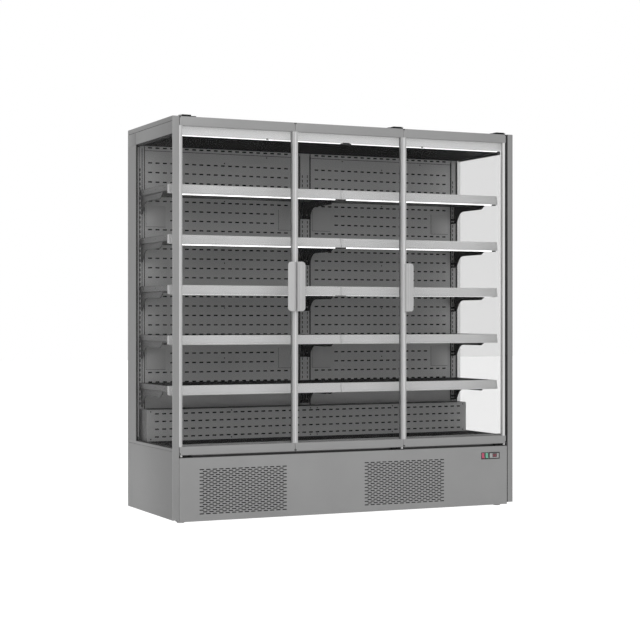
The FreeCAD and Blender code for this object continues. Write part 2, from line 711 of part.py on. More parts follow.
def bottom_hinge(index):
    """Bracket on the base panel's top edge and the sill, with collar and pin under the door."""
    x0, x1 = door_span(index)
    left = HINGED_LEFT[index]
    start = x0 + HINGE_START if left else x1 - HINGE_START
    way = 1 if left else -1
    span = sorted((start, start + way * HINGE_L * 0.7))
    plate = box(span[0], span[1], 1, FRAME_Y, BASE_TOP, BASE_TOP + BRACKET_T)
    x = pivot_x(index)
    shoulder = DOOR_BOTTOM - COLLAR_GAP
    plate_top = BASE_TOP + BRACKET_T
    collar = prism_z(PIVOT_BACK - 1, 6, V(x, PIVOT_BACK, plate_top), shoulder - plate_top)
    pin = Part.makeCylinder(PIVOT_R, DOOR_BOTTOM + PIN_IN - shoulder, V(x, PIVOT_BACK, shoulder))
    return plate.fuse([collar, pin])


# ================================================================ base panel and controls
def front_panel():
    """Base panel: sheet pan with two stamped grilles and cut-outs for the controls."""
    half = HALF - POST_FACE
    holes = []
    for left in GRILLE_LEFTS:
        rows = int((GRILLE_H - GRILLE_SLOT_H) // GRILLE_ROW_PITCH) + 1
        for row in range(rows):
            z = GRILLE_BOTTOM + row * GRILLE_ROW_PITCH
            shift = GRILLE_COL_PITCH / 2 if row % 2 else 0
            x = left + shift
            while x + GRILLE_SLOT_L <= left + GRILLE_W:
                holes.append((x, x + GRILLE_SLOT_L, z, z + GRILLE_SLOT_H))
                x += GRILLE_COL_PITCH
    for x in SWITCH_XS:
        holes.append((x - inner_switch_w() / 2, x + inner_switch_w() / 2,
                      CONTROL_Z - inner_switch_h() / 2, CONTROL_Z + inner_switch_h() / 2))
    bezel = 2 * BEZEL_T
    tw, th = THERMOSTAT_W / 2 - bezel, THERMOSTAT_H / 2 - bezel
    holes.append((THERMOSTAT_X - tw, THERMOSTAT_X + tw, CONTROL_Z - th, CONTROL_Z + th))
    face = holed_sheet(-half, half, 0, PANEL_BOTTOM, BASE_TOP, holes)
    back = PANEL_RETURN
    returns = [box(-half, half, 0, back, BASE_TOP - SHEET_T, BASE_TOP),
               box(-half, half, 0, back, PANEL_BOTTOM, PANEL_BOTTOM + SHEET_T),
               box(-half, -half + SHEET_T, 0, back, FLOOR_GAP, BASE_TOP),
               box(half - SHEET_T, half, 0, back, FLOOR_GAP, BASE_TOP)]
    return face.fuse(returns).removeSplitter()


def inner_switch_w():
    return SWITCH_W - 2 * BEZEL_T


def inner_switch_h():
    return SWITCH_H - 2 * BEZEL_T


def switch_housing(x):
    """Housing behind the panel, with a bezel in front and bearings for the rocker."""
    w, h = SWITCH_W / 2, SWITCH_H / 2
    bezel = box(x - w, x + w, -BEZEL_T, 0, CONTROL_Z - h, CONTROL_Z + h)
    iw, ih = inner_switch_w() / 2, inner_switch_h() / 2
    depth = 2 * ROCKER_AXIS_Y + ROCKER_PROUD
    body = box(x - iw, x + iw, 0, depth, CONTROL_Z - ih, CONTROL_Z + ih)
    rw, rh = ROCKER_W / 2 + ROCKER_SIDE_GAP, ROCKER_H / 2 + ROCKER_END_GAP
    well = box(x - rw, x + rw, -BEZEL_T, depth - SHEET_T, CONTROL_Z - rh, CONTROL_Z + rh)
    bearing = rod(TRUNNION_R + RUN_CLEAR, V(x - iw, ROCKER_AXIS_Y, CONTROL_Z),
                  V(x + iw, ROCKER_AXIS_Y, CONTROL_Z))
    return bezel.fuse(body).cut([well, bearing])


def rocker(x):
    """Rocker with a shallow V front, sloped flanks and two trunnions, lying to one side."""
    axis_y = ROCKER_AXIS_Y
    half = ROCKER_H / 2
    valley = -ROCKER_PROUD + half * math.tan(math.radians(ROCKER_TILT))
    back = axis_y + 4
    cap = along_x([(-ROCKER_PROUD, CONTROL_Z - half), (valley, CONTROL_Z),
                   (-ROCKER_PROUD, CONTROL_Z + half), (back, CONTROL_Z + half * 0.35),
                   (back, CONTROL_Z - half * 0.35)], x - ROCKER_W / 2, x + ROCKER_W / 2)
    reach = inner_switch_w() / 2 - 0.3
    pins = rod(TRUNNION_R, V(x - reach, axis_y, CONTROL_Z), V(x + reach, axis_y, CONTROL_Z))
    return turned(cap.fuse(pins), V(x, axis_y, CONTROL_Z), V(1, 0, 0), -ROCKER_TILT)


def thermostat():
    """Digital thermostat: bezel, recessed display window and the case behind the panel."""
    w, h = THERMOSTAT_W / 2, THERMOSTAT_H / 2
    x, z = THERMOSTAT_X, CONTROL_Z
    bezel = box(x - w, x + w, -2 * BEZEL_T, 0, z - h, z + h)
    inset = 2 * BEZEL_T
    case = box(x - w + inset, x + w - inset, 0, THERMOSTAT_D, z - h + inset, z + h - inset)
    window = box(x - w * 0.72, x + w * 0.3, -2 * BEZEL_T, -BEZEL_T, z - h * 0.45, z + h * 0.5)
    return bezel.fuse(case).cut(window)


# ================================================================ base frame, feet and rear cover
def foot_places():
    return [(side * (HALF - FOOT_IN), y + TUBE / 2) for side in (-1, 1)
            for y in (FRONT_TUBE_Y, REAR_TUBE_Y)]


def base_frame():
    """Welded tubes, corner struts up to the insulated floor, and the unit plate."""
    z0, z1 = FRAME_BOTTOM, FRAME_BOTTOM + TUBE
    parts = []
    for y in (FRONT_TUBE_Y, REAR_TUBE_Y):
        tube = hollow(-INNER, INNER, y, y + TUBE, z0, z1, TUBE_WALL)
        for x in (-INNER, -TUBE / 2, INNER - TUBE):
            tube = tube.fuse(hollow(x, x + TUBE, y, y + TUBE, z1, BASE_TOP, TUBE_WALL))
        parts.append(tube.removeSplitter())
    for x in (-INNER, -TUBE / 2, INNER - TUBE):
        parts.append(hollow(x, x + TUBE, FRONT_TUBE_Y + TUBE, REAR_TUBE_Y, z0, z1, TUBE_WALL))
    plate_y1 = REAR_TUBE_Y + TUBE / 2
    plate = box(UNIT_PLATE_X[0], UNIT_PLATE_X[1], FRONT_TUBE_Y + TUBE / 2, plate_y1,
                z1, z1 + UNIT_PLATE_T)
    slot = TUBE / 2 + SHEET_T
    plate = plate.cut(box(-slot, slot, 0, FRONT_TUBE_Y + TUBE + SHEET_T, z1, UNIT_Z))
    plate = plate.cut(box(-slot, slot, REAR_TUBE_Y - SHEET_T, DEPTH, z1, UNIT_Z))
    return parts + [plate]


def levelling_foot(x, y):
    """Round pad with the hexagon that turns it, under the tube's underside."""
    pad = prism_z(FOOT_R, PAD_SIDE_COUNT, V(x, y, 0), FOOT_H)
    return pad.fuse(prism_z(FOOT_HEX_R, 6, V(x, y, FOOT_H), FRAME_BOTTOM - FOOT_H))


def rear_grille():
    """Cover of the unit compartment at the back, with rows of air slots."""
    z0 = FRAME_BOTTOM
    y = REAR_TUBE_Y + TUBE
    holes = []
    rows = 3
    for row in range(rows):
        z = UNIT_Z + (BASE_TOP - UNIT_Z) * (row + 1) / (rows + 1)
        holes += slot_row(-INNER, -TUBE, z) + slot_row(TUBE, INNER, z)
    return holed_sheet(-INNER, INNER, y, z0, BASE_TOP, holes)


# ================================================================ refrigeration
def coil(x0, x1, y0, depth, z0, height, fins, rows):
    """Finned coil: comb of upright fins on a core, end plates, and tube stubs with return bends."""
    middle = y0 + depth / 2
    pitch = (x1 - x0) / fins
    fin = FIN_T / 2
    core = COIL_TUBE_R
    comb = []
    for side in (-1, 1):
        xs = [x0 + pitch * (i + 0.5) for i in range(fins)]
        row = []
        for x in xs if side < 0 else reversed(xs):
            near, far = middle + side * core, middle + side * depth / 2
            row += [(x + side * fin, near), (x + side * fin, far), (x - side * fin, far),
                    (x - side * fin, near)]
        comb += row
    solids = [along_z(comb, z0 + END_PLATE_LIFT, z0 + height - END_PLATE_LIFT)]
    core_bar = (middle - core, middle + core, z0 + END_PLATE_LIFT, z0 + height - END_PLATE_LIFT)
    solids.append(box(x0, x1, *core_bar))
    solids += [box(x, x + FIN_T, y0, y0 + depth, z0, z0 + height) for x in (x0, x1 - FIN_T)]
    step = height / (rows + 1)
    for row in range(rows):
        z = z0 + step * (row + 1)
        x_end, way = (x1, 1) if row % 2 else (x0, -1)
        if row + 1 < rows:
            solids.append(return_bend(x_end, way, middle, z, z + step))
    return solids[0].fuse(solids[1:]).removeSplitter()


def ring_section(centre, axis, radius):
    """Outline of a tube's section, with flats, square to the axis."""
    normal = V(axis).normalize()
    side = normal.cross(V(0, 0, 1) if abs(normal.z) < 0.9 else V(0, 1, 0)).normalize()
    up = normal.cross(side)
    points = [centre + side * a + up * b for a, b in ring_points(radius, TUBE_SIDE_COUNT)]
    return Part.makePolygon(points + [points[0]])


def return_bend(x, way, y, z0, z1):
    """Bend that joins two runs of a coil outside its end plate."""
    out = x + way * (COIL_TUBE_R + (z1 - z0) / 4)
    return tube([V(x, y, z0), V(out, y, z0), V(out, y, z1), V(x, y, z1)], COIL_TUBE_R, COIL_TUBE_R * 2)


def condenser():
    return coil(CONDENSER_X[0], CONDENSER_X[1], CONDENSER_Y, CONDENSER_D, UNIT_Z, CONDENSER_H,
                CONDENSER_FIN_COUNT, 4)


def condenser_fan_place():
    """Middle of the condenser fan's hub."""
    x = (CONDENSER_X[0] + CONDENSER_X[1]) / 2
    return V(x, CONDENSER_Y + CONDENSER_D + SHROUD_D, UNIT_Z + CONDENSER_H / 2)


def motor(centre):
    """Motor behind a fan: case, shaft into the hub, and a cross bar that carries it."""
    y = centre.y + FAN_HUB_L / 2 + 1
    case = prism_y(MOTOR_R, HUB_SIDE_COUNT, V(centre.x, y, centre.z), MOTOR_L)
    tip = centre.y - FAN_HUB_L / 2 + 4
    shaft = rod(FAN_SHAFT_R, V(centre.x, tip, centre.z), V(centre.x, y, centre.z))
    return case.fuse(shaft)


def motor_bar(centre, plate_back, reach):
    """Bar across the fan's opening behind the blades, with a leg at each end to the plate."""
    y = centre.y + FAN_HUB_L / 2 + 1
    bar = box(centre.x - reach, centre.x + reach, y, y + ARM_T, centre.z - ARM_W / 2,
              centre.z + ARM_W / 2)
    legs = [box(x, x + ARM_W, plate_back, y + ARM_T, centre.z - ARM_W / 2, centre.z + ARM_W / 2)
            for x in (centre.x - reach, centre.x + reach - ARM_W)]
    return bar.fuse(legs)


def fan(centre, radius):
    """Axial fan: hub with a shaft bore and pitched blades inside the tip circle."""
    half = FAN_HUB_L / 2
    front = V(centre.x, centre.y - half, centre.z)
    hub = prism_y(FAN_HUB_R, HUB_SIDE_COUNT, front, FAN_HUB_L)
    root = FAN_HUB_R - 3
    chord = radius * 0.62
    reach = math.sqrt(radius ** 2 - (chord / 2) ** 2)
    blades = []
    for i in range(BLADE_COUNT):
        blade = box(centre.x + root, centre.x + reach, centre.y - BLADE_T / 2,
                    centre.y + BLADE_T / 2, centre.z - chord / 2, centre.z + chord / 2)
        blade = turned(blade, centre, V(1, 0, 0), blade_pitch(chord))
        blades.append(turned(blade, centre, V(0, 1, 0), i * 360.0 / BLADE_COUNT))
    bore = rod(FAN_SHAFT_R + RUN_CLEAR, V(centre.x, centre.y - half + 3, centre.z),
               V(centre.x, centre.y + half, centre.z))
    return hub.fuse(blades).cut(bore)


def blade_pitch(chord):
    """Pitch that keeps a blade's swept depth within the hub's length."""
    return min(BLADE_PITCH, math.degrees(math.asin((FAN_HUB_L - BLADE_T) / chord)))


def condenser_shroud():
    """Box behind the condenser with a round mouth for the fan, its motor and the motor's bar."""
    centre = condenser_fan_place()
    x0, x1 = CONDENSER_X
    y0 = CONDENSER_Y + CONDENSER_D
    y1 = y0 + SHROUD_D
    shell = box(x0, x1, y0, y1, UNIT_Z, UNIT_Z + CONDENSER_H)
    shell = shell.cut(box(x0 + SHEET_T, x1 - SHEET_T, y0, y1 - SHEET_T, UNIT_Z + SHEET_T,
                          UNIT_Z + CONDENSER_H - SHEET_T))
    mouth = CONDENSER_FAN_R + FAN_TIP_GAP
    shell = shell.cut(prism_y(mouth, MOUTH_SIDE_COUNT, V(centre.x, y0, centre.z), SHROUD_D + 1))
    bar = motor_bar(centre, y1, mouth + 2 * ARM_W)
    return shell.fuse([bar, motor(centre)])


def evap_fan_place(side):
    z = FLOOR_TOP + (PLENUM_TOP - FLOOR_TOP) / 2
    return V(side * EVAP_FAN_X, FAN_PLATE_Y + FAN_PLATE_T / 2, z)


def fan_plate():
    """Upright plate behind the plenum panel, with two fan mouths and their motors."""
    x1 = INNER - SHELF_SIDE_GAP - 2 * SHEET_T
    y0, y1 = FAN_PLATE_Y, FAN_PLATE_Y + FAN_PLATE_T
    z1 = PLENUM_TOP - SHEET_T
    plate = box(-x1, x1, y0, y1, FLOOR_TOP, z1)
    foot = box(-x1, x1, y0, y0 + PANEL_RETURN, FLOOR_TOP, FLOOR_TOP + FAN_PLATE_T)
    plate = plate.fuse(foot)
    for side in (-1, 1):
        centre = evap_fan_place(side)
        mouth = EVAP_FAN_R + FAN_TIP_GAP
        plate = plate.cut(prism_y(mouth, MOUTH_SIDE_COUNT, V(centre.x, y0, centre.z), FAN_PLATE_T))
        plate = plate.fuse([motor_bar(centre, y1, mouth + ARM_W), motor(centre)])
    return plate.removeSplitter()


def evaporator():
    return coil(-EVAP_HALF_W, EVAP_HALF_W, EVAP_Y, EVAP_D, FLOOR_TOP, EVAP_H, EVAP_FIN_COUNT, 3)


def compressor():
    """Welded pot on a foot plate, with its terminal box and two stubs."""
    x, y, z = COMPRESSOR_X, COMPRESSOR_Y, UNIT_Z
    r, h = COMPRESSOR_R, COMPRESSOR_H
    lift = COMPRESSOR_LIFT
    pot = prism_z(r, POT_SIDE_COUNT, V(x, y, z + lift), h - lift)
    pot = pot.makeChamfer(POT_CHAMFER, [edge for edge in pot.Edges if flat_at(edge, z + h)])
    pot = pot.makeChamfer(POT_CHAMFER * 0.6, [edge for edge in pot.Edges if flat_at(edge, z + lift)])
    foot = box(x - r - POT_PLATE_OUT, x + r + POT_PLATE_OUT, y - POT_PLATE_HALF_D,
               y + POT_PLATE_HALF_D, z, z + POT_PLATE_T)
    stand = box(x - r * 0.4, x + r * 0.4, y - r / 2, y + r / 2, z, z + lift + 2)
    terminal = box(x + r * 0.9, x + r + TERMINAL_OUT, y - TERMINAL_HALF_W, y + TERMINAL_HALF_W,
                   z + TERMINAL_LOW, z + TERMINAL_HIGH)
    stubs = [prism_z(PIPE_R + 2, TUBE_SIDE_COUNT, V(sx, sy, z + h - STUB_H), STUB_H)
             for sx, sy in pipe_stubs()]
    return pot.fuse([foot, stand, terminal] + stubs)


def flat_at(edge, z):
    return abs(edge.BoundBox.ZMin - z) < 0.01 and abs(edge.BoundBox.ZMax - z) < 0.01


def pipe_stubs():
    """Stubs on the pot's shoulder that the suction and discharge pipes leave from."""
    return ((COMPRESSOR_X, COMPRESSOR_Y + STUB_OUT), (COMPRESSOR_X - STUB_OUT, COMPRESSOR_Y))


def drip_tray():
    x0, x1 = TRAY_X
    y0, y1 = TRAY_Y
    tray = box(x0, x1, y0, y1, UNIT_Z, UNIT_Z + TRAY_H)
    inside = box(x0 + SHEET_T, x1 - SHEET_T, y0 + SHEET_T, y1 - SHEET_T, UNIT_Z + SHEET_T,
                 UNIT_Z + TRAY_H)
    return tray.cut(inside)


def tube(points, radius, bend):
    """Tube along a line of points; each corner is turned by a short diagonal run."""
    path = [points[0]]
    for before, corner, after in zip(points, points[1:], points[2:]):
        path.append(corner - (corner - before).normalize() * bend)
        path.append(corner + (after - corner).normalize() * bend)
    path.append(points[-1])
    line = Part.makePolygon(path)
    section = ring_section(path[0], path[1] - path[0], radius)
    right_corner = 1
    return line.makePipeShell([section], True, False, right_corner)


def riser_places():
    """Where the suction and liquid lines pass up through the insulated floor."""
    y = EVAP_Y + EVAP_D / 2 - RISER_PITCH / 2
    return ((EVAP_HALF_W + RISER_OUT, y), (EVAP_HALF_W + RISER_OUT, y + RISER_PITCH))


def refrigerant_pipes():
    """Suction and liquid lines up to the evaporator, and the discharge line to the condenser."""
    pot_top = UNIT_Z + COMPRESSOR_H
    high = BASE_TOP - PIPE_UNDER
    suction_at, liquid_at = riser_places()
    (sx, sy), (dx, dy) = pipe_stubs()
    evap_end = EVAP_HALF_W
    suction_z = FLOOR_TOP + EVAP_H - PIPE_BEND
    liquid_z = FLOOR_TOP + PIPE_BEND
    suction = [V(sx, sy, pot_top), V(sx, sy, high), V(suction_at[0], sy, high),
               V(suction_at[0], suction_at[1], high), V(suction_at[0], suction_at[1], suction_z),
               V(evap_end, suction_at[1], suction_z)]
    front = CONDENSER_Y + CONDENSER_D / 2
    low = UNIT_Z + PIPE_BEND
    out_x = CONDENSER_X[1]
    turn_x = out_x + 2.5 * PIPE_BEND
    liquid = [V(out_x, front, low), V(turn_x, front, low), V(turn_x, liquid_at[1], low),
              V(liquid_at[0], liquid_at[1], low), V(liquid_at[0], liquid_at[1], liquid_z),
              V(evap_end, liquid_at[1], liquid_z)]
    inlet_z = UNIT_Z + CONDENSER_H - PIPE_BEND
    discharge = [V(dx, dy, pot_top), V(dx, dy, high), V(turn_x, dy, high), V(turn_x, dy, inlet_z),
                 V(turn_x, front, inlet_z), V(out_x, front, inlet_z)]
    return [tube(line, PIPE_R, PIPE_BEND) for line in (suction, liquid, discharge)]


# ================================================================ assembly
def main():
    os.makedirs("parts", exist_ok=True)

    sides = (("front_post", front_post), ("rear_post", rear_post), ("end_header", end_header),
             ("lower_panel", lower_panel))
    for name, make in sides:
        save(name + "_left", make())
        save(name + "_right", mirrored(make()))
    save("end_glass_left", end_glass())
    save("end_glass_right", [mirrored(part) for part in end_glass()])

    save("insulated_floor", insulated_floor())
    save("rear_wall", rear_wall())
    save("roof", roof())
    save("header_profile", header_profile())
    save("canopy_light", canopy_light())
    save("ceiling_liner", ceiling_liner())
    save("deck", deck())
    save("back_panels", [mirrored(back_panel()), back_panel()])
    save("plenum_panel", plenum_panel())
    save("shelf_uprights", shelf_uprights())

    rails, lights, brackets = [], [], []
    hooks = (INNER - HOOK_COLUMN_END - SHELF_BRACKET_T / 2, HOOK_COLUMN_MID - SHELF_BRACKET_T / 2)
    for level in range(SHELF_COUNT):
        top = SHELF_LOWEST + level * SHELF_PITCH
        tray = shelf_deck(top)
        save("shelf_deck_%d" % (level + 1), [mirrored(tray), tray])
        rails += [mirrored(price_rail(top)), price_rail(top)]
        lights += [mirrored(shelf_light(top)), shelf_light(top)]
        for x in hooks:
            plate = shelf_bracket(top, x)
            brackets += [mirrored(plate), plate]
    save("price_rails", rails)
    save("shelf_lights", lights)
    save("shelf_brackets", brackets)

    for index, name in enumerate(DOOR_NAMES):
        save("door_frame_" + name, door_frame(index))
        save("door_glass_" + name, door_glass(index))
        save("door_seal_" + name, door_seal(index))
        save("door_handle_" + name, door_handle(index))
    doors = range(DOOR_COUNT)
    save("top_hinges", [top_hinge(index) for index in doors])
    save("bottom_hinges", [bottom_hinge(index) for index in doors])

    save("front_panel", front_panel())
    save("switch_housings", [switch_housing(x) for x in SWITCH_XS])
    save("rocker_switch_red", rocker(SWITCH_XS[0]))
    save("rocker_switch_green", rocker(SWITCH_XS[1]))
    save("thermostat", thermostat())
    save("base_frame", base_frame())
    save("levelling_feet", [levelling_foot(x, y) for x, y in foot_places()])
    save("rear_grille", rear_grille())

    save("condenser", condenser())
    save("condenser_shroud", condenser_shroud())
    save("condenser_fan", fan(condenser_fan_place(), CONDENSER_FAN_R))
    save("compressor", compressor())
    save("refrigerant_pipes", refrigerant_pipes())
    save("drip_tray", drip_tray())
    save("evaporator", evaporator())
    save("fan_plate", fan_plate())
    save("evaporator_fan_left", fan(evap_fan_place(-1), EVAP_FAN_R))
    save("evaporator_fan_right", fan(evap_fan_place(1), EVAP_FAN_R))


main()
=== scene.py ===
import bpy
import bmesh
import json
import math
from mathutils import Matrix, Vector
from mathutils.geometry import delaunay_2d_cdt


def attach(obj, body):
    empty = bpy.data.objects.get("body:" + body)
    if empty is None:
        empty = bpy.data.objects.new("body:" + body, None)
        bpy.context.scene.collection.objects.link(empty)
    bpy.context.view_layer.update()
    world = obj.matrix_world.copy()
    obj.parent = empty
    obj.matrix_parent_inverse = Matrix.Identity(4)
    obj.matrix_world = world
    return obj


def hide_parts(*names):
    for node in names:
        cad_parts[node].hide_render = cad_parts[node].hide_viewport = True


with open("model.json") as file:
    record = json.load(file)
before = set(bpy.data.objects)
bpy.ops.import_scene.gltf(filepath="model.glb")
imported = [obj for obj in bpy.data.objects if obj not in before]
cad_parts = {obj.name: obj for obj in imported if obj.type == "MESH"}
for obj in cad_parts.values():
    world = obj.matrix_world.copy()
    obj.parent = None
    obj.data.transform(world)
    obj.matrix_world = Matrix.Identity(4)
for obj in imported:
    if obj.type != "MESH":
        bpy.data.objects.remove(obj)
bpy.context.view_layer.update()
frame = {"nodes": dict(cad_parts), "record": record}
NODES = frame["nodes"]

MM = 0.001
FRONT = -0.336              # front plane of doors and posts, in metres


# ---- materials
def linear(grey):
    """Linear value of a display grey from 0 to 255."""
    g = grey / 255
    return g / 12.92 if g <= 0.04045 else ((g + 0.055) / 1.055) ** 2.4


def tone(colour):
    """Shader colour of a display grey, or of a red, green and blue."""
    if not isinstance(colour, tuple):
        colour = (colour,) * 3
    return tuple(linear(c) for c in colour) + (1.0,)


def node(tree, kind, **values):
    """New node; values set its inputs by name, or its own settings."""
    made = tree.nodes.new("ShaderNode" + kind)
    for key, value in values.items():
        if key in made.inputs:
            made.inputs[key].default_value = value
        else:
            setattr(made, key, value)
    return made


def put(made, values):
    """Sets a node's inputs, each by its name or number."""
    for key, value in values.items():
        made.inputs[key].default_value = value


def principled(name):
    """New material, its node tree and its main shader."""
    mat = bpy.data.materials.new(name)
    mat.use_nodes = True
    return mat, mat.node_tree, mat.node_tree.nodes["Principled BSDF"]


GLOSS_SPREAD = 0.08         # how far the fine grain moves the roughness each way


def finish_paint(name, colour, rough, metal=0.0, grain=1400.0, depth=0.05, cloud=0.04,
                 stretch=(1, 1, 1), spec=0.5, glow=0.0):
    """Painted, moulded or metal surface: fine grain in the bump, slow clouds in colour."""
    mat, tree, shader = principled(name)
    put(shader, {"Metallic": metal, "Specular IOR Level": spec})
    if glow:
        put(shader, {"Emission Color": tone(colour), "Emission Strength": glow})
    where = node(tree, "TexCoord")
    spread = node(tree, "Mapping", Scale=stretch)
    tree.links.new(where.outputs["Object"], spread.inputs["Vector"])
    fine = node(tree, "TexNoise", Scale=grain, Detail=2.0)
    tree.links.new(spread.outputs["Vector"], fine.inputs["Vector"])
    slow = node(tree, "TexNoise", Scale=3.1, Detail=3.0)
    tree.links.new(where.outputs["Object"], slow.inputs["Vector"])
    base = tone(colour)
    ramp = node(tree, "ValToRGB")
    for stop, place, shade in zip(ramp.color_ramp.elements, (0.3, 0.7), (1 - cloud, 1 + cloud)):
        stop.position = place
        stop.color = tuple(min(1, c * shade) for c in base[:3]) + (1,)
    tree.links.new(slow.outputs["Fac"], ramp.inputs["Fac"])
    tree.links.new(ramp.outputs["Color"], shader.inputs["Base Color"])
    gloss = node(tree, "MapRange")
    put(gloss, {"From Min": 0.3, "From Max": 0.7, "To Min": max(0.02, rough - GLOSS_SPREAD),
                "To Max": min(1.0, rough + GLOSS_SPREAD)})
    tree.links.new(fine.outputs["Fac"], gloss.inputs["Value"])
    tree.links.new(gloss.outputs["Result"], shader.inputs["Roughness"])
    bump = node(tree, "Bump", Strength=depth, Distance=0.0004)
    tree.links.new(fine.outputs["Fac"], bump.inputs["Height"])
    tree.links.new(bump.outputs["Normal"], shader.inputs["Normal"])
    return mat


def finish_glass(name, clear, shine):
    """Thin float glass: most light passes straight through, and it mirrors at grazing angles."""
    mat, tree, shader = principled(name)
    out = tree.nodes["Material Output"]
    put(shader, {"Base Color": tone(235), "Roughness": 0.03})
    through = node(tree, "BsdfTransparent", Color=(clear, clear, clear, 1))
    rim = node(tree, "LayerWeight", Blend=0.5)
    steep = node(tree, "Math", operation="POWER")
    put(steep, {1: 5.0})
    share = node(tree, "Math", operation="MULTIPLY_ADD")
    put(share, {1: shine, 2: 0.004})
    mix = node(tree, "MixShader")
    tree.links.new(rim.outputs["Facing"], steep.inputs[0])
    tree.links.new(steep.outputs[0], share.inputs[0])
    tree.links.new(share.outputs[0], mix.inputs["Fac"])
    tree.links.new(through.outputs["BSDF"], mix.inputs[1])
    tree.links.new(shader.outputs["BSDF"], mix.inputs[2])
    tree.links.new(mix.outputs["Shader"], out.inputs["Surface"])
    return mat


def finish_lamp(name, colour, strength):
    """Lit plastic."""
    mat, _, shader = principled(name)
    put(shader, {"Base Color": tone(colour), "Roughness": 0.4, "Emission Color": tone(colour),
                 "Emission Strength": strength})
    return mat


PAINTS = {                  # colour, roughness, and what differs from plain paint
    "body_paint": (155, 0.42, {}),
    "end_paint": (124, 0.42, {}),
    "frame_aluminium": (168, 0.42, dict(metal=0.3, grain=500, depth=0.03, stretch=(1, 1, 0.03))),
    "interior_paint": (230, 0.5, {}),
    "rail_white": (247, 0.38, {}),
    # On the brackets this black is painted shade of their grey paint.
    "bracket_black": (20, 0.5, dict(spec=0.25)),
    "seal_grey": (96, 0.6, {}),
    "handle_grey": (192, 0.35, {}),
    "hinge_dark": (22, 0.5, dict(spec=0.2)),
    "galvanised": (165, 0.4, dict(metal=0.7, grain=260, cloud=0.1)),
    "coil_fins": (175, 0.35, dict(metal=0.8)),
    "pot_black": (26, 0.3, {}),
    "copper": ((198, 124, 84), 0.3, dict(metal=0.9)),
    "fan_black": (36, 0.5, {}),
    "switch_black": (30, 0.4, {}),
    "switch_red": ((196, 84, 112), 0.3, {}),
    "switch_green": ((118, 188, 160), 0.3, {}),
    "controller_grey": (178, 0.35, {}),
    "foot_white": (205, 0.5, {}),
    # Ceiling liner: the interior paint darkened as painted shade.
    "ceiling_dark": (18, 0.7, dict(spec=0.02)),
    "post": (146, 0.4, dict(metal=0.15)),
    "shadow_gap": (62, 0.6, {}),
    "dark_steel": (52, 0.5, dict(spec=0.1)),
    "connector_dark": (48, 0.5, {}),
    "spacer": (176, 0.4, dict(metal=0.3)),
    "display": (58, 0.2, {}),
    "stile": (190, 0.4, {}),
    # Glowing painted light on the door edges and in the left door gap.
    "glowing_stile_edge": (226, 0.4, dict(glow=0.15)),
    # Band over the doors that glows: painted light.
    "glowing_header_band": (220, 0.4, dict(glow=0.36)),
    "end_header": (124, 0.42, {}),
    "deck_dark": (26, 0.7, dict(spec=0.04)),
    "sill": (160, 0.45, {}),
    "filter_mat": (24, 0.8, dict(grain=900, depth=0.4)),
    "plate_bright": (206, 0.35, {}),
    # Black sheet behind the slots: painted shade that makes the slots read dark.
    "slot_shade": (12, 0.9, dict(grain=700, depth=0.5, spec=0.1)),
    # Glowing painted light, on the post flanges and the right end seal.
    "painted_glow": (232, 0.4, dict(glow=0.5)),
    # Black of real seals, and painted shade in gaps, grooves and recesses.
    "black_seal_and_shade": (18, 0.5, dict(spec=0.2)),
    # Lit copy of the bracket paint for the left end brackets: painted light.
    "bracket_lit_end": (112, 0.5, {}),
    # Interior paint darkened as painted shade, on flanges and end faces.
    "shaded_interior_paint": (132, 0.5, {}),
    # Right door's end stile and gasket glowing as painted light.
    "glowing_stile_end": (222, 0.4, dict(glow=0.05)),
    "plenum_paint": (200, 0.5, {}),
    "seal_dim": (96, 0.6, dict(spec=0.2)),
}
LOOKS = {name: finish_paint(name, colour, rough, **more)
         for name, (colour, rough, more) in PAINTS.items()}
LOOKS["lamp_white"] = finish_lamp("lamp_white", 255, 1.5)
LOOKS["digits"] = finish_lamp("digits", (176, 60, 84), 0.4)
LOOKS["clear_glass"] = finish_glass("clear_glass", clear=0.9625, shine=0.12)
LOOKS["end_glass"] = finish_glass("end_glass", clear=0.95, shine=0.03)

# CAD nodes that stay: those with a look of their own, and those whose folds get a rounded edge.
# The header profile takes the glowing header band, painted light.
OWN_LOOK = {"header_profile": "glowing_header_band", "deck": "deck_dark", "insulated_floor": "sill"}
FOLDED = ("rear_post_left", "rear_post_right", "insulated_floor", "roof", "header_profile", "deck",
          "base_frame", "drip_tray", "condenser_shroud")
for part in frame["record"]["subparts"]:
    made = NODES[part["node"]]
    made.data.materials.clear()
    made.data.materials.append(LOOKS[OWN_LOOK.get(part["node"], part["material_slot"])])
    if part["node"] in FOLDED:
        bevel = made.modifiers.new("folded_edge", "BEVEL")
        bevel.width, bevel.segments = 0.001, 2
        bevel.angle_limit = math.radians(60)


# ---- mesh helpers
# Lengths below are millimetres: X from the middle, Y back from the front plane, Z up.
def at(x, y, z):
    """Point of the frame, in metres."""
    return Vector((x * MM, y * MM + FRONT, z * MM))


def piece(name, bm, slot, *nodes, body="cabinet", look=None, smooth=35):
    """Makes the piece, rides it on its body, and hides the solids that it stands for."""
    bmesh.ops.recalc_face_normals(bm, faces=bm.faces)
    mesh = bpy.data.meshes.new(name)
    bm.to_mesh(mesh)
    bm.free()
    mesh.materials.append(LOOKS[look or slot])
    mesh.polygons.foreach_set("use_smooth", [smooth > 0] * len(mesh.polygons))
    if smooth > 0:
        mesh.set_sharp_from_angle(angle=math.radians(smooth))
    made = bpy.data.objects.new(name, mesh)
    bpy.context.scene.collection.objects.link(made)
    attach(made, body)
    if nodes:
        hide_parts(*nodes)


def side_name(side):
    """Name of the side at -1 or 1."""
    return "left" if side < 0 else "right"


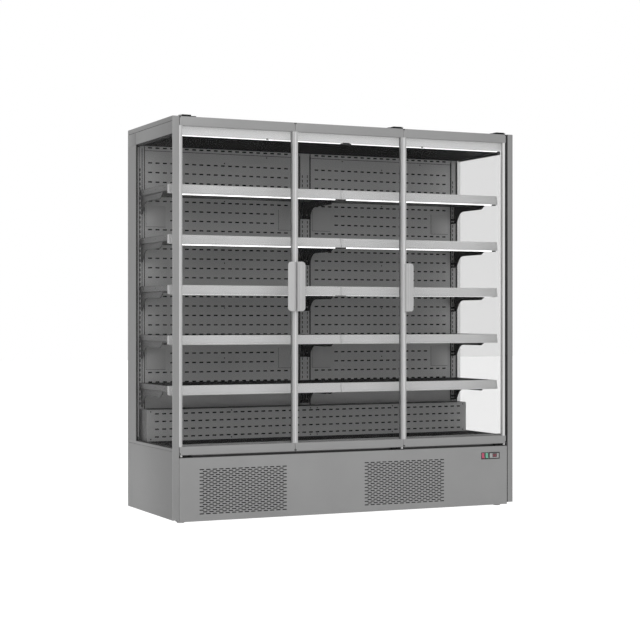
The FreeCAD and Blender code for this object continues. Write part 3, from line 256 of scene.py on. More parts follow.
def slab(bm, x0, x1, y0, y1, z0, z1, bevel=0.0, segments=2):
    """Box with rounded edges."""
    made = bmesh.ops.create_cube(bm, size=1.0)["verts"]
    low, high = at(min(x0, x1), y0, z0), at(max(x0, x1), y1, z1)
    for v in made:
        v.co = Vector([low[i] if v.co[i] < 0 else high[i] for i in range(3)])
    if bevel:
        edges = list({e for v in made for e in v.link_edges})
        bmesh.ops.bevel(bm, geom=edges, offset=bevel * MM, segments=segments, affect="EDGES",
                        profile=0.5)


def boxes(name, slot, *rows, look=None, smooth=0):
    """Cabinet piece made of boxes alone; a row is what slab takes."""
    bm = bmesh.new()
    for row in rows:
        slab(bm, *row)
    piece(name, bm, slot, look=look, smooth=smooth)


def softened(points, radii, steps=4):
    """Closed outline with its corners rounded; radii is one radius or one for each corner."""
    n = len(points)
    if not isinstance(radii, (list, tuple)):
        radii = [radii] * n
    out = []
    for i, (p, r) in enumerate(zip(points, radii)):
        p = Vector(p)
        a = (Vector(points[i - 1]) - p)
        b = (Vector(points[(i + 1) % n]) - p)
        if r <= 0:
            out.append(p)
            continue
        a_len, b_len = a.length, b.length
        a, b = a / a_len, b / b_len
        angle = a.angle(b)
        reach = min(r / math.tan(angle / 2), a_len * 0.49, b_len * 0.49)
        start, end = p + a * reach, p + b * reach
        for k in range(steps + 1):
            t = k / steps
            out.append(start * (1 - t) ** 2 + p * 2 * t * (1 - t) + end * t ** 2)
    return out


def run(bm, outline, axis, a, b):
    """Outline extruded along an axis: (y, z) along x, (x, z) along y, (x, y) along z."""
    def place(p, w):
        return at(*{"x": (w, p[0], p[1]), "y": (p[0], w, p[1]), "z": (p[0], p[1], w)}[axis])
    first = [bm.verts.new(place(p, a)) for p in outline]
    last = [bm.verts.new(place(p, b)) for p in outline]
    bm.faces.new(first)
    bm.faces.new(last[::-1])
    for i in range(len(first)):
        j = (i + 1) % len(first)
        bm.faces.new((first[i], last[i], last[j], first[j]))


def mitred(bm, outline, x0, x1, z0, z1):
    """Outline of (inward, y) swept round a rectangle with mitred corners."""
    rings = []
    for sx, sz in ((0, 0), (1, 0), (1, 1), (0, 1)):
        ring = []
        for u, y in outline:
            x = x0 + u if sx == 0 else x1 - u
            z = z0 + u if sz == 0 else z1 - u
            ring.append(bm.verts.new(at(x, y, z)))
        rings.append(ring)
    for k in range(4):
        one, two = rings[k], rings[(k + 1) % 4]
        for i in range(len(one)):
            j = (i + 1) % len(one)
            bm.faces.new((one[i], two[i], two[j], one[j]))


def pierced(bm, outer, holes, place, thick):
    """Sheet with holes; place(u, v, w) puts a point, w running from 0 to thick."""
    loops = [outer] + holes
    points, edges, owner = [], [], []
    for k, loop in enumerate(loops):
        first = len(points)
        for i, p in enumerate(loop):
            points.append(Vector(p))
            owner.append(k)
            edges.append((first + i, first + (i + 1) % len(loop)))
    flat, _, faces, source, _, _ = delaunay_2d_cdt(points, edges, [], 1, 1e-6)
    who = [owner[s[0]] for s in source]
    near = [bm.verts.new(place(p.x, p.y, 0)) for p in flat]
    far = [bm.verts.new(place(p.x, p.y, thick)) for p in flat]
    where = {s[0]: i for i, s in enumerate(source)}
    for f in faces:
        if who[f[0]] == who[f[1]] == who[f[2]] != 0:
            continue
        bm.faces.new([near[i] for i in f])
        bm.faces.new([far[i] for i in reversed(f)])
    for a, b in edges:
        i, j = where[a], where[b]
        bm.faces.new((near[i], near[j], far[j], far[i]))


def slot_hole(x, z, length, height, cut=1.2):
    """Slot round x, z with its corners cut off."""
    a, b = length / 2, height / 2
    return [(x - a + cut, z - b), (x + a - cut, z - b), (x + a, z - b + cut),
            (x + a, z + b - cut), (x + a - cut, z + b), (x - a + cut, z + b),
            (x - a, z + b - cut), (x - a, z - b + cut)]


def box_hole(x0, x1, z0, z1):
    """Square-cornered hole or sheet."""
    return [(x0, z0), (x1, z0), (x1, z1), (x0, z1)]


def upright_sheet(y):
    """Places a drawing in x and z on an upright sheet whose near face is at y."""
    return lambda u, v, w: at(u, y + w, v)


def lathe(bm, profile, centre, axis="z", sides=32):
    """Profile of (radius, along) turned round an axis through centre."""
    def place(r, h, t):
        c, s = r * math.cos(t), r * math.sin(t)
        x, y, z = centre
        return at(*{"z": (x + c, y + s, z + h), "y": (x + c, y + h, z + s),
                    "x": (x + h, y + c, z + s)}[axis])
    rings = []
    for r, h in profile:
        if r < 1e-6:
            rings.append([bm.verts.new(place(0, h, 0))])
        else:
            rings.append([bm.verts.new(place(r, h, 2 * math.pi * i / sides))
                          for i in range(sides)])
    for one, two in zip(rings, rings[1:]):
        for i in range(sides):
            j = (i + 1) % sides
            if len(one) == 1 and len(two) == 1:
                break
            if len(one) == 1:
                bm.faces.new((one[0], two[i], two[j]))
            elif len(two) == 1:
                bm.faces.new((one[i], two[0], one[j]))
            else:
                bm.faces.new((one[i], two[i], two[j], one[j]))


def screw(bm, x, y, z, way="-y", r=3.6):
    """Pan-head screw with a cross recess left as a dimple; way is where the head points."""
    profile = [(r, 0), (r, 0.6), (r * 0.8, 1.5), (r * 0.35, 1.8), (r * 0.3, 0.9), (0, 0.9)]
    axis, sign = way[1], -1 if way[0] == "-" else 1
    lathe(bm, [(a, sign * h) for a, h in profile], (x, y, z), axis, 14)


# ---- measures, millimetres
OUTER, INNER = 975.0, 955.0             # faces of the end walls
HEIGHT, DEPTH = 2004.0, 700.0
SKIN = 1.5                              # sheet thickness
DOOR_LOW, DOOR_HIGH = 334.0, 2003.0
GLASS_LOW, GLASS_HIGH = 368.0, 1915.0   # of the end glazing
TRAY_FRONT, TRAY_END = 147.0, 950.0
SWITCHES = (("red", 788.5), ("green", 811.5))
CONTROLS_Z = 270.0
DOORS = (("left", -936.5, -316.0, True), ("middle", -313.0, 307.5, False),
         ("right", 310.5, 931.0, False))
SHELF_TOPS = [671.0 + 252 * level for level in range(5)]
BACK_Y, PLENUM_Y, WALL_Y = 578.0, 460.0, 643.0
DECK_Z, PLENUM_Z, CEILING_Z = 371.0, 535.0, 1913.0


def both(make):
    """Makes the left and the right one."""
    for side in (-1, 1):
        make(side)


# ---- posts and end walls
def post(side):
    """Front post with a rebate beside the door, a glowing painted light over its strike plate
    flange, and the strip in its corner: painted shade on the right, painted light on the left.
    """
    name = side_name(side)
    bm = bmesh.new()
    outline = [(OUTER - 1, 0), (943.4, 0), (943.4, 3), (940, 3), (940, 31), (923, 31), (923, 44),
               (INNER, 44), (INNER, 5), (OUTER, 5), (OUTER, 0.8)]
    radii = [1.0, 1.0, 0.3, 0.5, 0.5, 0.5, 0.5, 0.5, 0.5, 0.5, 0.8]
    loop = [(side * p.x, p.y) for p in softened(outline, radii, 4)]
    run(bm, loop, "z", 15, HEIGHT)
    piece("post_" + name, bm, "frame_aluminium", "front_post_" + name, look="post")
    low, high = DOOR_LOW + 2, DOOR_HIGH - 2
    # Strike plate flange glowing as painted light.
    boxes("post_flange_glow_" + name, "frame_aluminium",
          (side * 923.2, side * 939.8, 30.1, 30.9, low, high),
          (side * 922.2, side * 922.9, 30.6, 43.8, low, high), look="painted_glow")
    # Strip in the rebate: black as painted shade on the right, body grey as painted light on the
    # left.
    boxes("post_rebate_shading_" + name, "seal_grey", (side * 940.3, side * 943.3, 1.6, 2.9, 16, 2002),
          look="black_seal_and_shade" if side > 0 else "body_paint")


def end_glazing(side):
    """Two panes with a spacer, black on the left as painted shade, and the seal at the rear post:
    black on the left, a glowing painted light on the right.
    """
    name = side_name(side)
    y0, y1, z0, z1 = 5, 567, GLASS_LOW, GLASS_HIGH
    bm = bmesh.new()
    for a, b in ((OUTER, OUTER - 4), (INNER + 4, INNER)):
        slab(bm, side * a, side * b, y0, y1, z0, z1, 0.4, 1)
    piece("end_panes_" + name, bm, "clear_glass", "end_glass_" + name,
          look="end_glass" if side < 0 else None, smooth=0)
    bm = bmesh.new()
    a, b = side * 970.9, side * 959.1
    for ya, yb, za, zb in ((y0, y0 + 4, z0, z1), (y0 + 4, y1 - 6, z0, z0 + 6),
                           (y0 + 4, y1 - 6, z1 - 9, z1)):
        slab(bm, a, b, ya, yb, za, zb)
    # Spacer: black on the left as painted shade, metal on the right.
    piece("end_spacer_" + name, bm, "seal_grey",
          look="spacer" if side > 0 else "black_seal_and_shade", smooth=0)
    # Seal: black on the left, glowing painted light on the right.
    a, b, deep = (-974.6, -969.6, 14) if side < 0 else (955.1, 970.9, 6)
    boxes("end_seal_" + name, "seal_grey", (a, b, y1 - deep, y1 - 0.1, z0, z1),
          look="black_seal_and_shade" if side < 0 else "painted_glow")


def end_band(side):
    """Header band over the glass, the rear post's head, and the cap above its groove."""
    name = side_name(side)
    bm = bmesh.new()
    # Black core, painted shade, that shows through the grooves between the band pieces.
    slab(bm, side * (INNER + 0.1), side * 973.4, 5.2, DEPTH - 0.2, GLASS_HIGH + 0.1, 2003.4)
    piece("end_core_" + name, bm, "end_paint", "end_header_" + name, look="black_seal_and_shade", smooth=0)
    bm = bmesh.new()
    for ya, yb, za, zb in ((5, 566, 1916.4, 1978.6), (568.4, DEPTH, 1915.4, 1978.6),
                           (5, DEPTH, 1980.6, HEIGHT)):
        slab(bm, side * (INNER + 0.2), side * OUTER, ya, yb, za, zb, 0.7, 2)
    piece("end_band_" + name, bm, "end_paint", look="end_header")


def end_base(side):
    """Lower side panel, parted by a dark groove from the trim under the glass."""
    name = side_name(side)
    bm = bmesh.new()
    slab(bm, side * INNER, side * 973.6, 5.2, DEPTH - 0.2, 15.2, GLASS_LOW - 0.2)
    piece("end_base_core_" + name, bm, "end_paint", "lower_panel_" + name,
          look="shadow_gap", smooth=0)
    bm = bmesh.new()
    for low, high in ((15, 352.4), (353.6, GLASS_LOW)):
        slab(bm, side * (INNER + 0.1), side * OUTER, 5, DEPTH, low, high, 0.8, 2)
    piece("end_base_" + name, bm, "end_paint")


# ---- back of the chamber
SLOT_ROWS = [1905.0] + [1826 - 50.1 * i for i in range(24)]
SHORT_ROWS = [(1560, 1590), (1510, 1540), (810, 840), (760, 790)]
SHEETS = {"left": (-927.0, -30.0, -72.0, -41.05, ((-915, -807), (-157, -49))),
          "right": (30.0, 927.0, 70.5, 40.2, ((45, 153), (790, 898)))}


def back_sheet(name):
    """Perforated rear wall of one module, with its pressed plates, seams and screws."""
    x0, x1, first, pitch, plates = SHEETS[name]
    columns = [first + pitch * i for i in range(21)]
    holes = []
    for z in SLOT_ROWS:
        short = any(a < z < b for a, b in SHORT_ROWS)
        holes += [slot_hole(x, z, 23, 7.4) for x in (columns[3:-3] if short else columns)]
    bm = bmesh.new()
    pierced(bm, box_hole(x0, x1, PLENUM_Z, CEILING_Z), holes, upright_sheet(BACK_Y), SKIN)
    nodes = ("back_panels",) if name == "left" else ()
    piece("back_sheet_" + name, bm, "interior_paint", *nodes, smooth=0)
    bm = bmesh.new()
    rims = bmesh.new()
    for a, b in plates:
        for z in (1491, 740):
            slab(bm, a, b, BACK_Y - 0.9, BACK_Y + 0.1, z, z + 110, 0.8, 2)
            for c, d, e, f in ((a - 1.6, a, z - 1.8, z + 110), (a, b, z - 1.8, z)):
                slab(rims, c, d, BACK_Y - 0.5, BACK_Y + 0.1, e, f)
    piece("embossed_" + name, bm, "interior_paint")
    edges = (x0, x0 + 5.0), (x1 - 9.5, x1 - 4.5)
    seams = [(x0, x1, 1888, 1890.5)] + [(a, b, PLENUM_Z, 1911) for a, b in edges]
    for a, b, c, d in seams:
        slab(rims, a, b, BACK_Y - 0.5, BACK_Y + 0.2, c, d)
    piece("panel_seams_" + name, rims, "bracket_black", look="shadow_gap", smooth=0)
    bm = bmesh.new()
    way = 1 if name == "right" else -1
    for x, z in ((228, 1880), (718, 1880), (473.5, 1840), (473.5, 1636), (473.5, 1305),
                 (473.5, 1065), (473.5, 796)):
        screw(bm, way * x, BACK_Y, z)
    piece("panel_screws_" + name, bm, "galvanised", look="dark_steel")
    y = BACK_Y + SKIN
    # Black sheet behind the slots, painted shade.
    boxes("duct_slot_shade_" + name, "fan_black",
          (x0 + 1, x1 - 1, y + 0.6, y + 1.4, PLENUM_Z + 1, CEILING_Z - 1), look="slot_shade")


def upright_strip(name, x0, x1, columns, nodes=()):
    """Channel with one or more columns of hook slots."""
    holes = []
    for x in columns:
        z = PLENUM_Z + 20
        while z < 1790:
            holes.append(box_hole(x - 2.6, x + 2.6, z, z + 15))
            z += 25
    bm = bmesh.new()
    pierced(bm, box_hole(x0, x1, PLENUM_Z, CEILING_Z), holes, upright_sheet(BACK_Y - 1.2), SKIN)
    for x in (x0, x1 - SKIN):
        slab(bm, x, x + SKIN, BACK_Y + 0.3, WALL_Y, PLENUM_Z, CEILING_Z)
    piece(name, bm, "interior_paint", *nodes, smooth=0)
    # Black sheet behind the hook slots, painted shade.
    boxes(name + "_slot_shade", "fan_black",
          (x0 + 2, x1 - 2, BACK_Y + 1.2, BACK_Y + 2.0, PLENUM_Z + 1, CEILING_Z - 1), look="slot_shade")


def plenum():
    """Perforated cover low at the back, with its ends, a black strip of painted shade on top,
    corners and screws.
    """
    x1 = INNER - 5
    holes = []
    for row in range(4):
        for column in range(46):
            holes.append(slot_hole(-896 + 39.95 * column, 393 + 40 * row, 23, 7.4))
    bm = bmesh.new()
    pierced(bm, box_hole(-x1, x1, DECK_Z, PLENUM_Z - 3), holes, upright_sheet(PLENUM_Y), SKIN)
    y, top, rear = PLENUM_Y, PLENUM_Z, BACK_Y - 1.3
    curl = [(y, top - 3), (y + 0.9, top - 0.9), (y + 3, top), (rear, top), (rear, top - SKIN),
            (y + 3, top - SKIN), (y + SKIN, top - 3)]
    run(bm, curl, "x", -x1, x1)
    piece("plenum_cover", bm, "interior_paint", "plenum_panel", look="plenum_paint", smooth=0)
    # The cover's ends are darkened as painted shade.
    boxes("plenum_ends", "interior_paint",
          *[(x, x + SKIN, y + SKIN, rear, DECK_Z, top - SKIN) for x in (-x1, x1 - SKIN)],
          look="shaded_interior_paint")
    # Black strip on the cover's top: painted shade.
    boxes("plenum_top_shade", "interior_paint",
          (-x1 + 2, x1 - 2, y + 3.5, BACK_Y - 2, top - 0.1, top + 0.5), look="black_seal_and_shade")
    # Black sheet behind the cover's slots, painted shade.
    boxes("plenum_slot_shade", "fan_black",
          (-x1 + 4, x1 - 4, y + SKIN + 0.6, y + SKIN + 1.4, DECK_Z + 1, top - 4), look="slot_shade")
    bm = bmesh.new()
    for side in (-1, 1):
        slab(bm, side * (x1 + 0.4), side * (x1 - 3), y - 0.4, y + 0.6, DECK_Z + 0.2, top - 2, 0.3)
    piece("plenum_corners", bm, "interior_paint", look="plate_bright")
    bm = bmesh.new()
    for x in (-930, -480, -20, 20, 480, 930):
        for z in (524, 381):
            screw(bm, x, y, z)
    piece("plenum_screws", bm, "galvanised", look="dark_steel")


# ---- shelves
LIP = 4.0                   # lip that hides the lamp from the front
LENS_HANG = (-0.6, -0.6, 1.0, 5.0, 4.6)     # how far each level's lens hangs below the lip
MODULES = (("left", -TRAY_END, -0.8, -925.0, -34.0), ("right", 0.8, TRAY_END, 30.0, 915.0))
CONNECTORS = {"left": ((-33.6, -2.4),), "right": ((2.4, 29.6), (915.4, 941.0))}


def shelf(level, top):
    """Price rail, lamp and its connectors of one level, on each side of the middle."""
    low = top - 44
    hang = low - LIP - LENS_HANG[level]
    for name, x0, x1, lamp0, lamp1 in MODULES:
        first = level == 0 and name == "left"
        bm = bmesh.new()
        face = [(115, low - LIP), (118.4, low - LIP), (118.4, low - 0.3), (TRAY_FRONT, low - 0.3),
                (TRAY_FRONT, top), (139, top), (139, top - 3), (127, top - 3), (126.4, top),
                (124, top), (122.6, top - 5), (121.8, top - 5.6), (115.9, low + 3.4),
                (117.9, low + 2.8), (117.9, low + 1.2), (115.3, low + 0.6)]
        soft = [1.2, 0.8, 0.3, 1, 1, 0.6, 0.8, 0.8, 0.5, 0.9, 0.6, 0.6, 0.4, 0.2, 0.2, 0.4]
        run(bm, softened(face, soft, 2), "x", x0 + 12, x1 - 12)
        for a, b in ((x0, x0 + 12), (x1 - 12, x1)):
            cap = [(113.8, low - LIP), (118.4, low - LIP), (118.4, low - 0.3),
                   (TRAY_FRONT, low - 0.3), (TRAY_FRONT, top), (123.2, top)]
            for k in range(4):
                u = a + 3.0 * k
                run(bm, softened(cap, [1, 0.5, 0.3, 1, 1, 1], 2), "x", u, u + 2.2)
                if k < 3:
                    rib = [(114.6, low - LIP + 0.8), (119.2, low - LIP + 0.8), (118.4, low - 0.3),
                           (146, low - 0.3), (146, top - 0.8), (124, top - 0.8)]
                    run(bm, rib, "x", u + 2.2, u + 3.0)
        piece("price_rail_%s_%d" % (name, level + 1), bm, "rail_white",
              *(("price_rails",) if first else ()))

        bm = bmesh.new()
        holder = [(120, low - 0.5), (141.8, low - 0.5), (141.8, hang - 0.4), (120, hang - 0.4)]
        for a, b in CONNECTORS[name]:
            run(bm, softened(holder, 0.8, 2), "x", a, b)
            slab(bm, a + 4, b - 4, 141.8, 146.4, low - 3.6, low - 0.5, 0.5)
        piece("lamp_holder_%s_%d" % (name, level + 1), bm, "lamp_white", look="connector_dark")
        bm = bmesh.new()
        lens = [(119, low - 0.4), (119, hang + 0.6), (121, hang), (128, hang), (130, hang + 0.8),
                (130, low - 0.4)]
        run(bm, softened(lens, [0.3, 1, 1, 1, 0.8, 0.3], 3), "x", lamp0, lamp1)
        piece("lamp_lens_%s_%d" % (name, level + 1), bm, "lamp_white",
              *(("shelf_lights",) if first else ()))


def trays():
    """Shelf trays: dark top sheet on painted side and rear flanges with rolled edges; the flanges
    are darkened as painted shade.
    """
    for level, top in enumerate(SHELF_TOPS):
        tops, flanges = bmesh.new(), bmesh.new()
        for x0, x1 in ((-TRAY_END, -1.0), (1.0, TRAY_END)):
            sheet = [(TRAY_FRONT, top - 0.4), (TRAY_FRONT + 1, top - 0.02),
                     (BACK_Y - 1, top - 0.02), (BACK_Y, top - 0.4), (BACK_Y, top - SKIN),
                     (TRAY_FRONT, top - SKIN)]
            run(tops, sheet, "x", x0 + 0.4, x1 - 0.4)
            for a, way in ((x0, 1), (x1, -1)):
                side = [(a, top - 1.4), (a + way * 0.5, top - 0.7), (a + way * 1.5, top - 0.7),
                        (a + way * 1.5, top - 30.5), (a + way * 9.5, top - 30.5),
                        (a + way * 9.5, top - 32), (a + way * 0.6, top - 32), (a, top - 31.4)]
                run(flanges, side, "y", TRAY_FRONT, BACK_Y)
            for y, way in ((BACK_Y, -1), (TRAY_FRONT, 1)):
                fold = [(y, top - 1.6), (y, top - 31.4), (y + way * 0.6, top - 32),
                        (y + way * 10, top - 32), (y + way * 10, top - 30.5),
                        (y + way * SKIN, top - 30.5), (y + way * SKIN, top - 1.6)]
                run(flanges, fold, "x", x0 + 1.6, x1 - 1.6)
            for y in (280, 430):
                sheet = [(y, top - 1.6), (y, top - 20), (y + 22, top - 20), (y + 22, top - 1.6),
                         (y + 20.5, top - 1.6), (y + 20.5, top - 18.5), (y + 1.5, top - 18.5),
                         (y + 1.5, top - 1.6)]
                run(flanges, sheet, "x", x0 + 12, x1 - 12)
        piece("shelf_top_%d" % (level + 1), tops, "interior_paint",
              "shelf_deck_%d" % (level + 1), look="deck_dark", smooth=0)
        # Flanges darkened as painted shade.
        piece("shelf_flanges_%d" % (level + 1), flanges, "interior_paint",
              look="shaded_interior_paint", smooth=0)
        bm = bmesh.new()
        for side in (-1, 1):
            slab(bm, side * (TRAY_END + 0.05), side * (TRAY_END + 0.7), 160, 560, top - 31.6,
                 top - 29.4)
            for y in (182, 330, 520):
                lathe(bm, [(0, 0), (3.4, 0), (3.4, side * 0.7), (0, side * 0.7)],
                      (side * TRAY_END, y, top - 14), "x", 14)
        piece("shelf_marks_%d" % (level + 1), bm, "bracket_black", look="shadow_gap")


# Outline of a bracket plate: place in Y and drop below the shelf's top, and its corner radii.
BRACKET = [(578, 33), (578, 126), (556, 126), (545, 112), (536, 100), (522, 82), (502, 69),
           (478, 64), (276, 64), (238, 44), (238, 33)]
BRACKET_RADII = [0, 2, 4, 3, 6, 8, 10, 10, 5, 4, 0]


def brackets():
    """Cantilever plates under the shelves, with their hook plates and rivets on the uprights."""
    for level, top in enumerate(SHELF_TOPS):
        outline = softened([(y, top - drop) for y, drop in BRACKET], BRACKET_RADII, 3)
        # Left end brackets take the lit grey copy, painted light; the rest stay black, painted
        # shade.
        for k, x in enumerate((-942, -15, 15, 942)):
            bm = bmesh.new()
            run(bm, outline, "x", x - 2, x + 2)
            nodes = ("shelf_brackets",) if level == k == 0 else ()
            piece("bracket_%d_%d" % (level + 1, k + 1), bm, "bracket_black", *nodes,
                  look="bracket_lit_end" if k == 0 else None)
        bm = bmesh.new()
        slab(bm, -28, 28, 573.6, 576.6, top - 125, top - 33, 0.6)
        for low, high in ((128, 118), (110, 100)):
            slab(bm, 920, 941, 573.6, 576.6, top - low, top - high, 0.6)
        slab(bm, 941, 954, 573.6, 576.6, top - 126, top - 33, 0.6)
        piece("hook_plates_%d" % (level + 1), bm, "bracket_black")
        bm = bmesh.new()
        for x in (-13.5, 13.5):
            slab(bm, x - 5, x + 5, 572.6, 573.8, top - 108, top - 99, 0.5)
        for drop in (114, 95, 60):
            slab(bm, 924, 936, 574.6, 576.7, top - drop - 3, top - drop + 3, 0.5)
        piece("hook_pins_%d" % (level + 1), bm, "bracket_black", look="spacer")
        bm = bmesh.new()
        edge = [(y, top - drop) for y, drop in BRACKET[1:-1]]
        inner = [(y + (2.2 if k < 6 else 0.6), z + (0.4 if k < 6 else 2.4))
                 for k, (y, z) in enumerate(edge)]
        run(bm, edge + inner[::-1], "x", -944.6, -944.05)
        piece("bracket_rim_%d" % (level + 1), bm, "bracket_black", look="shadow_gap", smooth=0)


def joint_lines():
    """Bright reveal on the left rear post, and the dark joints beside the hook strips."""
    boxes("post_reveal", "interior_paint", (-967.5, -960.5, 566.1, 566.9, 390, 1905))
    joints = (-939.6, -936.2), (-33.8, -31.4), (26.6, 29.2), (914.2, 917.2), (950.8, 954.4)
    boxes("strip_joints", "interior_paint", *[(a, b, 575.8, 576.9, 541, 1900) for a, b in joints],
          look="black_seal_and_shade")


def rear_and_roof():
    """Rear wall and roof sheets, with cover strips over the wall's joints, and their screws."""
    z0, z1 = 321.0, 1922.0
    bm = bmesh.new()
    slab(bm, -INNER, INNER, WALL_Y, DEPTH - 2, z0, z1)
    for a, b in ((-954.6, -319), (-317, 317), (319, 954.6)):
        slab(bm, a, b, DEPTH - 2.2, DEPTH - 1, z0 + 0.4, z1 - 0.4, 0.3)
    piece("rear_sheets", bm, "end_paint", "rear_wall")
    strips = [(x - half, x + half, z0 + 2, z1 - 2)
              for x, half in ((-318, 19), (318, 19), (-944, 10.5), (944, 10.5))]
    strips += [(a, b, z - 11, z + 11) for z in (z0 + 14, z1 - 14)
               for a, b in ((-933, -338), (-298, 298), (338, 933))]
    boxes("rear_strips", "end_paint", *[(a, b, DEPTH - 1.1, DEPTH, c, d, 0.4)
                                        for a, b, c, d in strips], look="end_header", smooth=35)
    bm = bmesh.new()
    for x in (-926, -344, -292, 292, 344, 926):
        for k in range(7):
            lathe(bm, [(4, 0), (4, 0.5), (3.2, 0.95), (1.2, 0.95), (1.0, 0.5), (0, 0.5)],
                  (x, DEPTH - 1, z0 + 60 + k * 246), "y", 16)
    for x in (-925, -20, 20, 925):
        for y in (96, 384, 672):
            lathe(bm, [(4.5, 0), (4.5, 0.8), (3.4, 1.6), (1.2, 1.6), (1.0, 0.9), (0, 0.9)],
                  (x, y, HEIGHT + 0.9), "z", 16)
    piece("sheet_screws", bm, "frame_aluminium")
    boxes("roof_sheets", "body_paint", *[(a, b, 84, 684, HEIGHT - 0.1, HEIGHT + 1, 0.4)
                                         for a, b in ((-945, -1.5), (1.5, 945))], smooth=35)


def canopy():
    """Lamp under the header, with its connectors and clips, and the header's lip and cap."""
    y = 44.0
    lens = [(y, 1921), (y, 1914), (y + 3, 1912.2), (y + 13, 1912.2), (y + 16, 1914), (y + 16, 1921)]
    for k, (a, b) in enumerate(((-927, -38.5), (22, 905))):
        bm = bmesh.new()
        run(bm, softened(lens, [0.5, 2, 2, 2, 2, 0.5], 3), "x", a, b)
        nodes = ("canopy_light",) if k == 0 else ()
        piece("canopy_lens_%d" % (k + 1), bm, "lamp_white", *nodes)
    bm = bmesh.new()
    ends = [(y - 1.7, 1918.6), (y - 1.7, 1908.6), (y + 15.4, 1908.6), (y + 15.4, 1918.6)]
    for a, b in ((-38, -28), (-28, 12), (12, 21.5), (905.5, 925)):
        grow = 0.0 if b - a > 30 else 0.5
        run(bm, softened([(p + grow, q - grow) for p, q in ends], 1.0, 2), "x", a + 0.2, b - 0.2)
    piece("canopy_connectors", bm, "lamp_white", look="connector_dark", smooth=0)
    boxes("canopy_clips", "hinge_dark",
          *[(x - 6, x + 6, 42.0, 44.1, 1913.2, 1919, 0.4) for x in (-452, 440)], smooth=35)
    # Lip glowing as painted light, like the header band.
    boxes("header_lip", "end_paint", (-922.8, 922.8, 42.6, 43.9, 1914.4, 1919.4, 0.3),
          look="glowing_header_band", smooth=35)
    boxes("header_cap", "body_paint", (-922.8, 922.8, 29.8, 44.2, HEIGHT, HEIGHT + 0.8, 0.3),
          smooth=35)


# ---- doors
def door(name, x0, x1, hinged_left):
    """Rails, stiles with edge strips that glow as painted light, dark marks of painted shade at the
    stiles' ends, two panes, spacer, gasket and pull.
    """
    body = "door_" + name
    z0, z1, stile, thick = DOOR_LOW, DOOR_HIGH, 13.0, 22.0
    foot, head, edge = z0 + 41.0, z1 - 45.0, 1.8
    bm = bmesh.new()
    for za, zb in ((z0, foot), (head, z1)):
        slab(bm, x0 + edge, x1 - edge, 0, thick, za, zb, 1.4, 3)
    slab(bm, x0 + stile, x1 - stile, 1.6, thick - 1.2, foot - 0.2, foot + 1.2)
    slab(bm, x0 + stile, x1 - stile, 1.6, thick - 1.2, head - 1.2, head + 0.2)
    piece("door_rails_" + name, bm, "body_paint", "door_frame_" + name, body=body)

    stiles, edges, shade_marks, shallow = bmesh.new(), bmesh.new(), bmesh.new(), bmesh.new()
    for at_edge, way in ((x0, 1), (x1, -1)):
        def placed(outline):
            return [(at_edge + way * u, y) for u, y in outline]

        strip = [(0, 0.8), (0.6, 0.1), (edge - 0.05, 0.1), (edge - 0.05, 21.8), (0, 21.4)]
        if name == "right" and way < 0:         # wide shallow stile with a dark edge of painted shade at the post
            shade = [(0, 0.8), (0.6, 0.1), (4.3, 0.3), (4.3, 21.8), (0, 21.4)]
            outline = [(4.4, 0.5), (19.2, 0.3), (19.8, 0.9), (19.8, 2.0), (9.4, 2.2), (9.4, 21.9),
                       (4.4, 21.9)]
            run(shallow, placed(outline), "z", foot + 0.1, head - 0.1)
            run(shade_marks, placed(shade), "z", foot + 0.1, head - 0.1)
        else:
            outline = [(edge, 0.5), (5.8, 0), (5.8, 1.2), (7.0, 1.2), (7.0, 0.2),
                       (stile - 0.8, 0.5), (stile - 0.2, 1.6), (stile - 0.2, 20.6),
                       (stile - 0.8, 21.6), (edge, 21.9)]
            run(stiles, placed(outline), "z", foot + 0.1, head - 0.1)
            run(edges, placed(strip), "z", foot + 0.1, head - 0.1)
        for low, high in ((z0 + 0.3, foot), (head, z1 - 0.3)):
            run(stiles, placed(strip), "z", low, high)
        # Dark marks of painted shade where the joints between doors end.
        for za, zb in ((336, 345), (1995.5, 2002.8)):
            slab(shade_marks, at_edge + way * 0.1, at_edge + way * 3.6, -0.25, 1.0, za, zb, 0.3)
    piece("door_stiles_" + name, stiles, "frame_aluminium", body=body, look="stile")
    # Edge strips glowing as painted light in the gaps between doors.
    piece("door_edges_" + name, edges, "frame_aluminium", body=body, look="glowing_stile_edge", smooth=0)
    if name == "right":
        # The right door's end stile glows as painted light.
        piece("door_end_stile", shallow, "frame_aluminium", body=body, look="glowing_stile_end")
    else:
        shallow.free()
    piece("door_shade_marks_" + name, shade_marks, "frame_aluminium", body=body, look="black_seal_and_shade")

    bm = bmesh.new()
    for a in (2.2, 15.8):
        slab(bm, x0 + stile - 0.6, x1 - stile + 0.6, a, a + 4, foot - 0.4, head + 0.4)
    piece("door_panes_" + name, bm, "clear_glass", "door_glass_" + name, body=body, smooth=0)
    bm = bmesh.new()
    spacer = [(8, 6.4), (12.7, 6.4), (13.0, 7.4), (13.0, 14.6), (12.7, 15.6), (8, 15.6)]
    mitred(bm, spacer, x0, x1, foot - stile, head + stile)
    piece("door_spacer_" + name, bm, "coil_fins", body=body, look="spacer")

    bm = bmesh.new()
    gasket = [(3.5, 22), (12, 22), (12.4, 23.2), (11, 24.4), (12.6, 25.8), (12.8, 28.4),
              (11.8, 29.2), (4.2, 29.2), (3.2, 28.4), (3.4, 25.8), (5, 24.4), (3.1, 23.2)]
    mitred(bm, gasket, x0, x1, z0, z1)
    # On the right door the gasket glows as painted light.
    piece("door_gasket_" + name, bm, "seal_grey", "door_seal_" + name, body=body,
          look="glowing_stile_end" if name == "right" else None)
    handle(name, x0, x1, hinged_left, body)


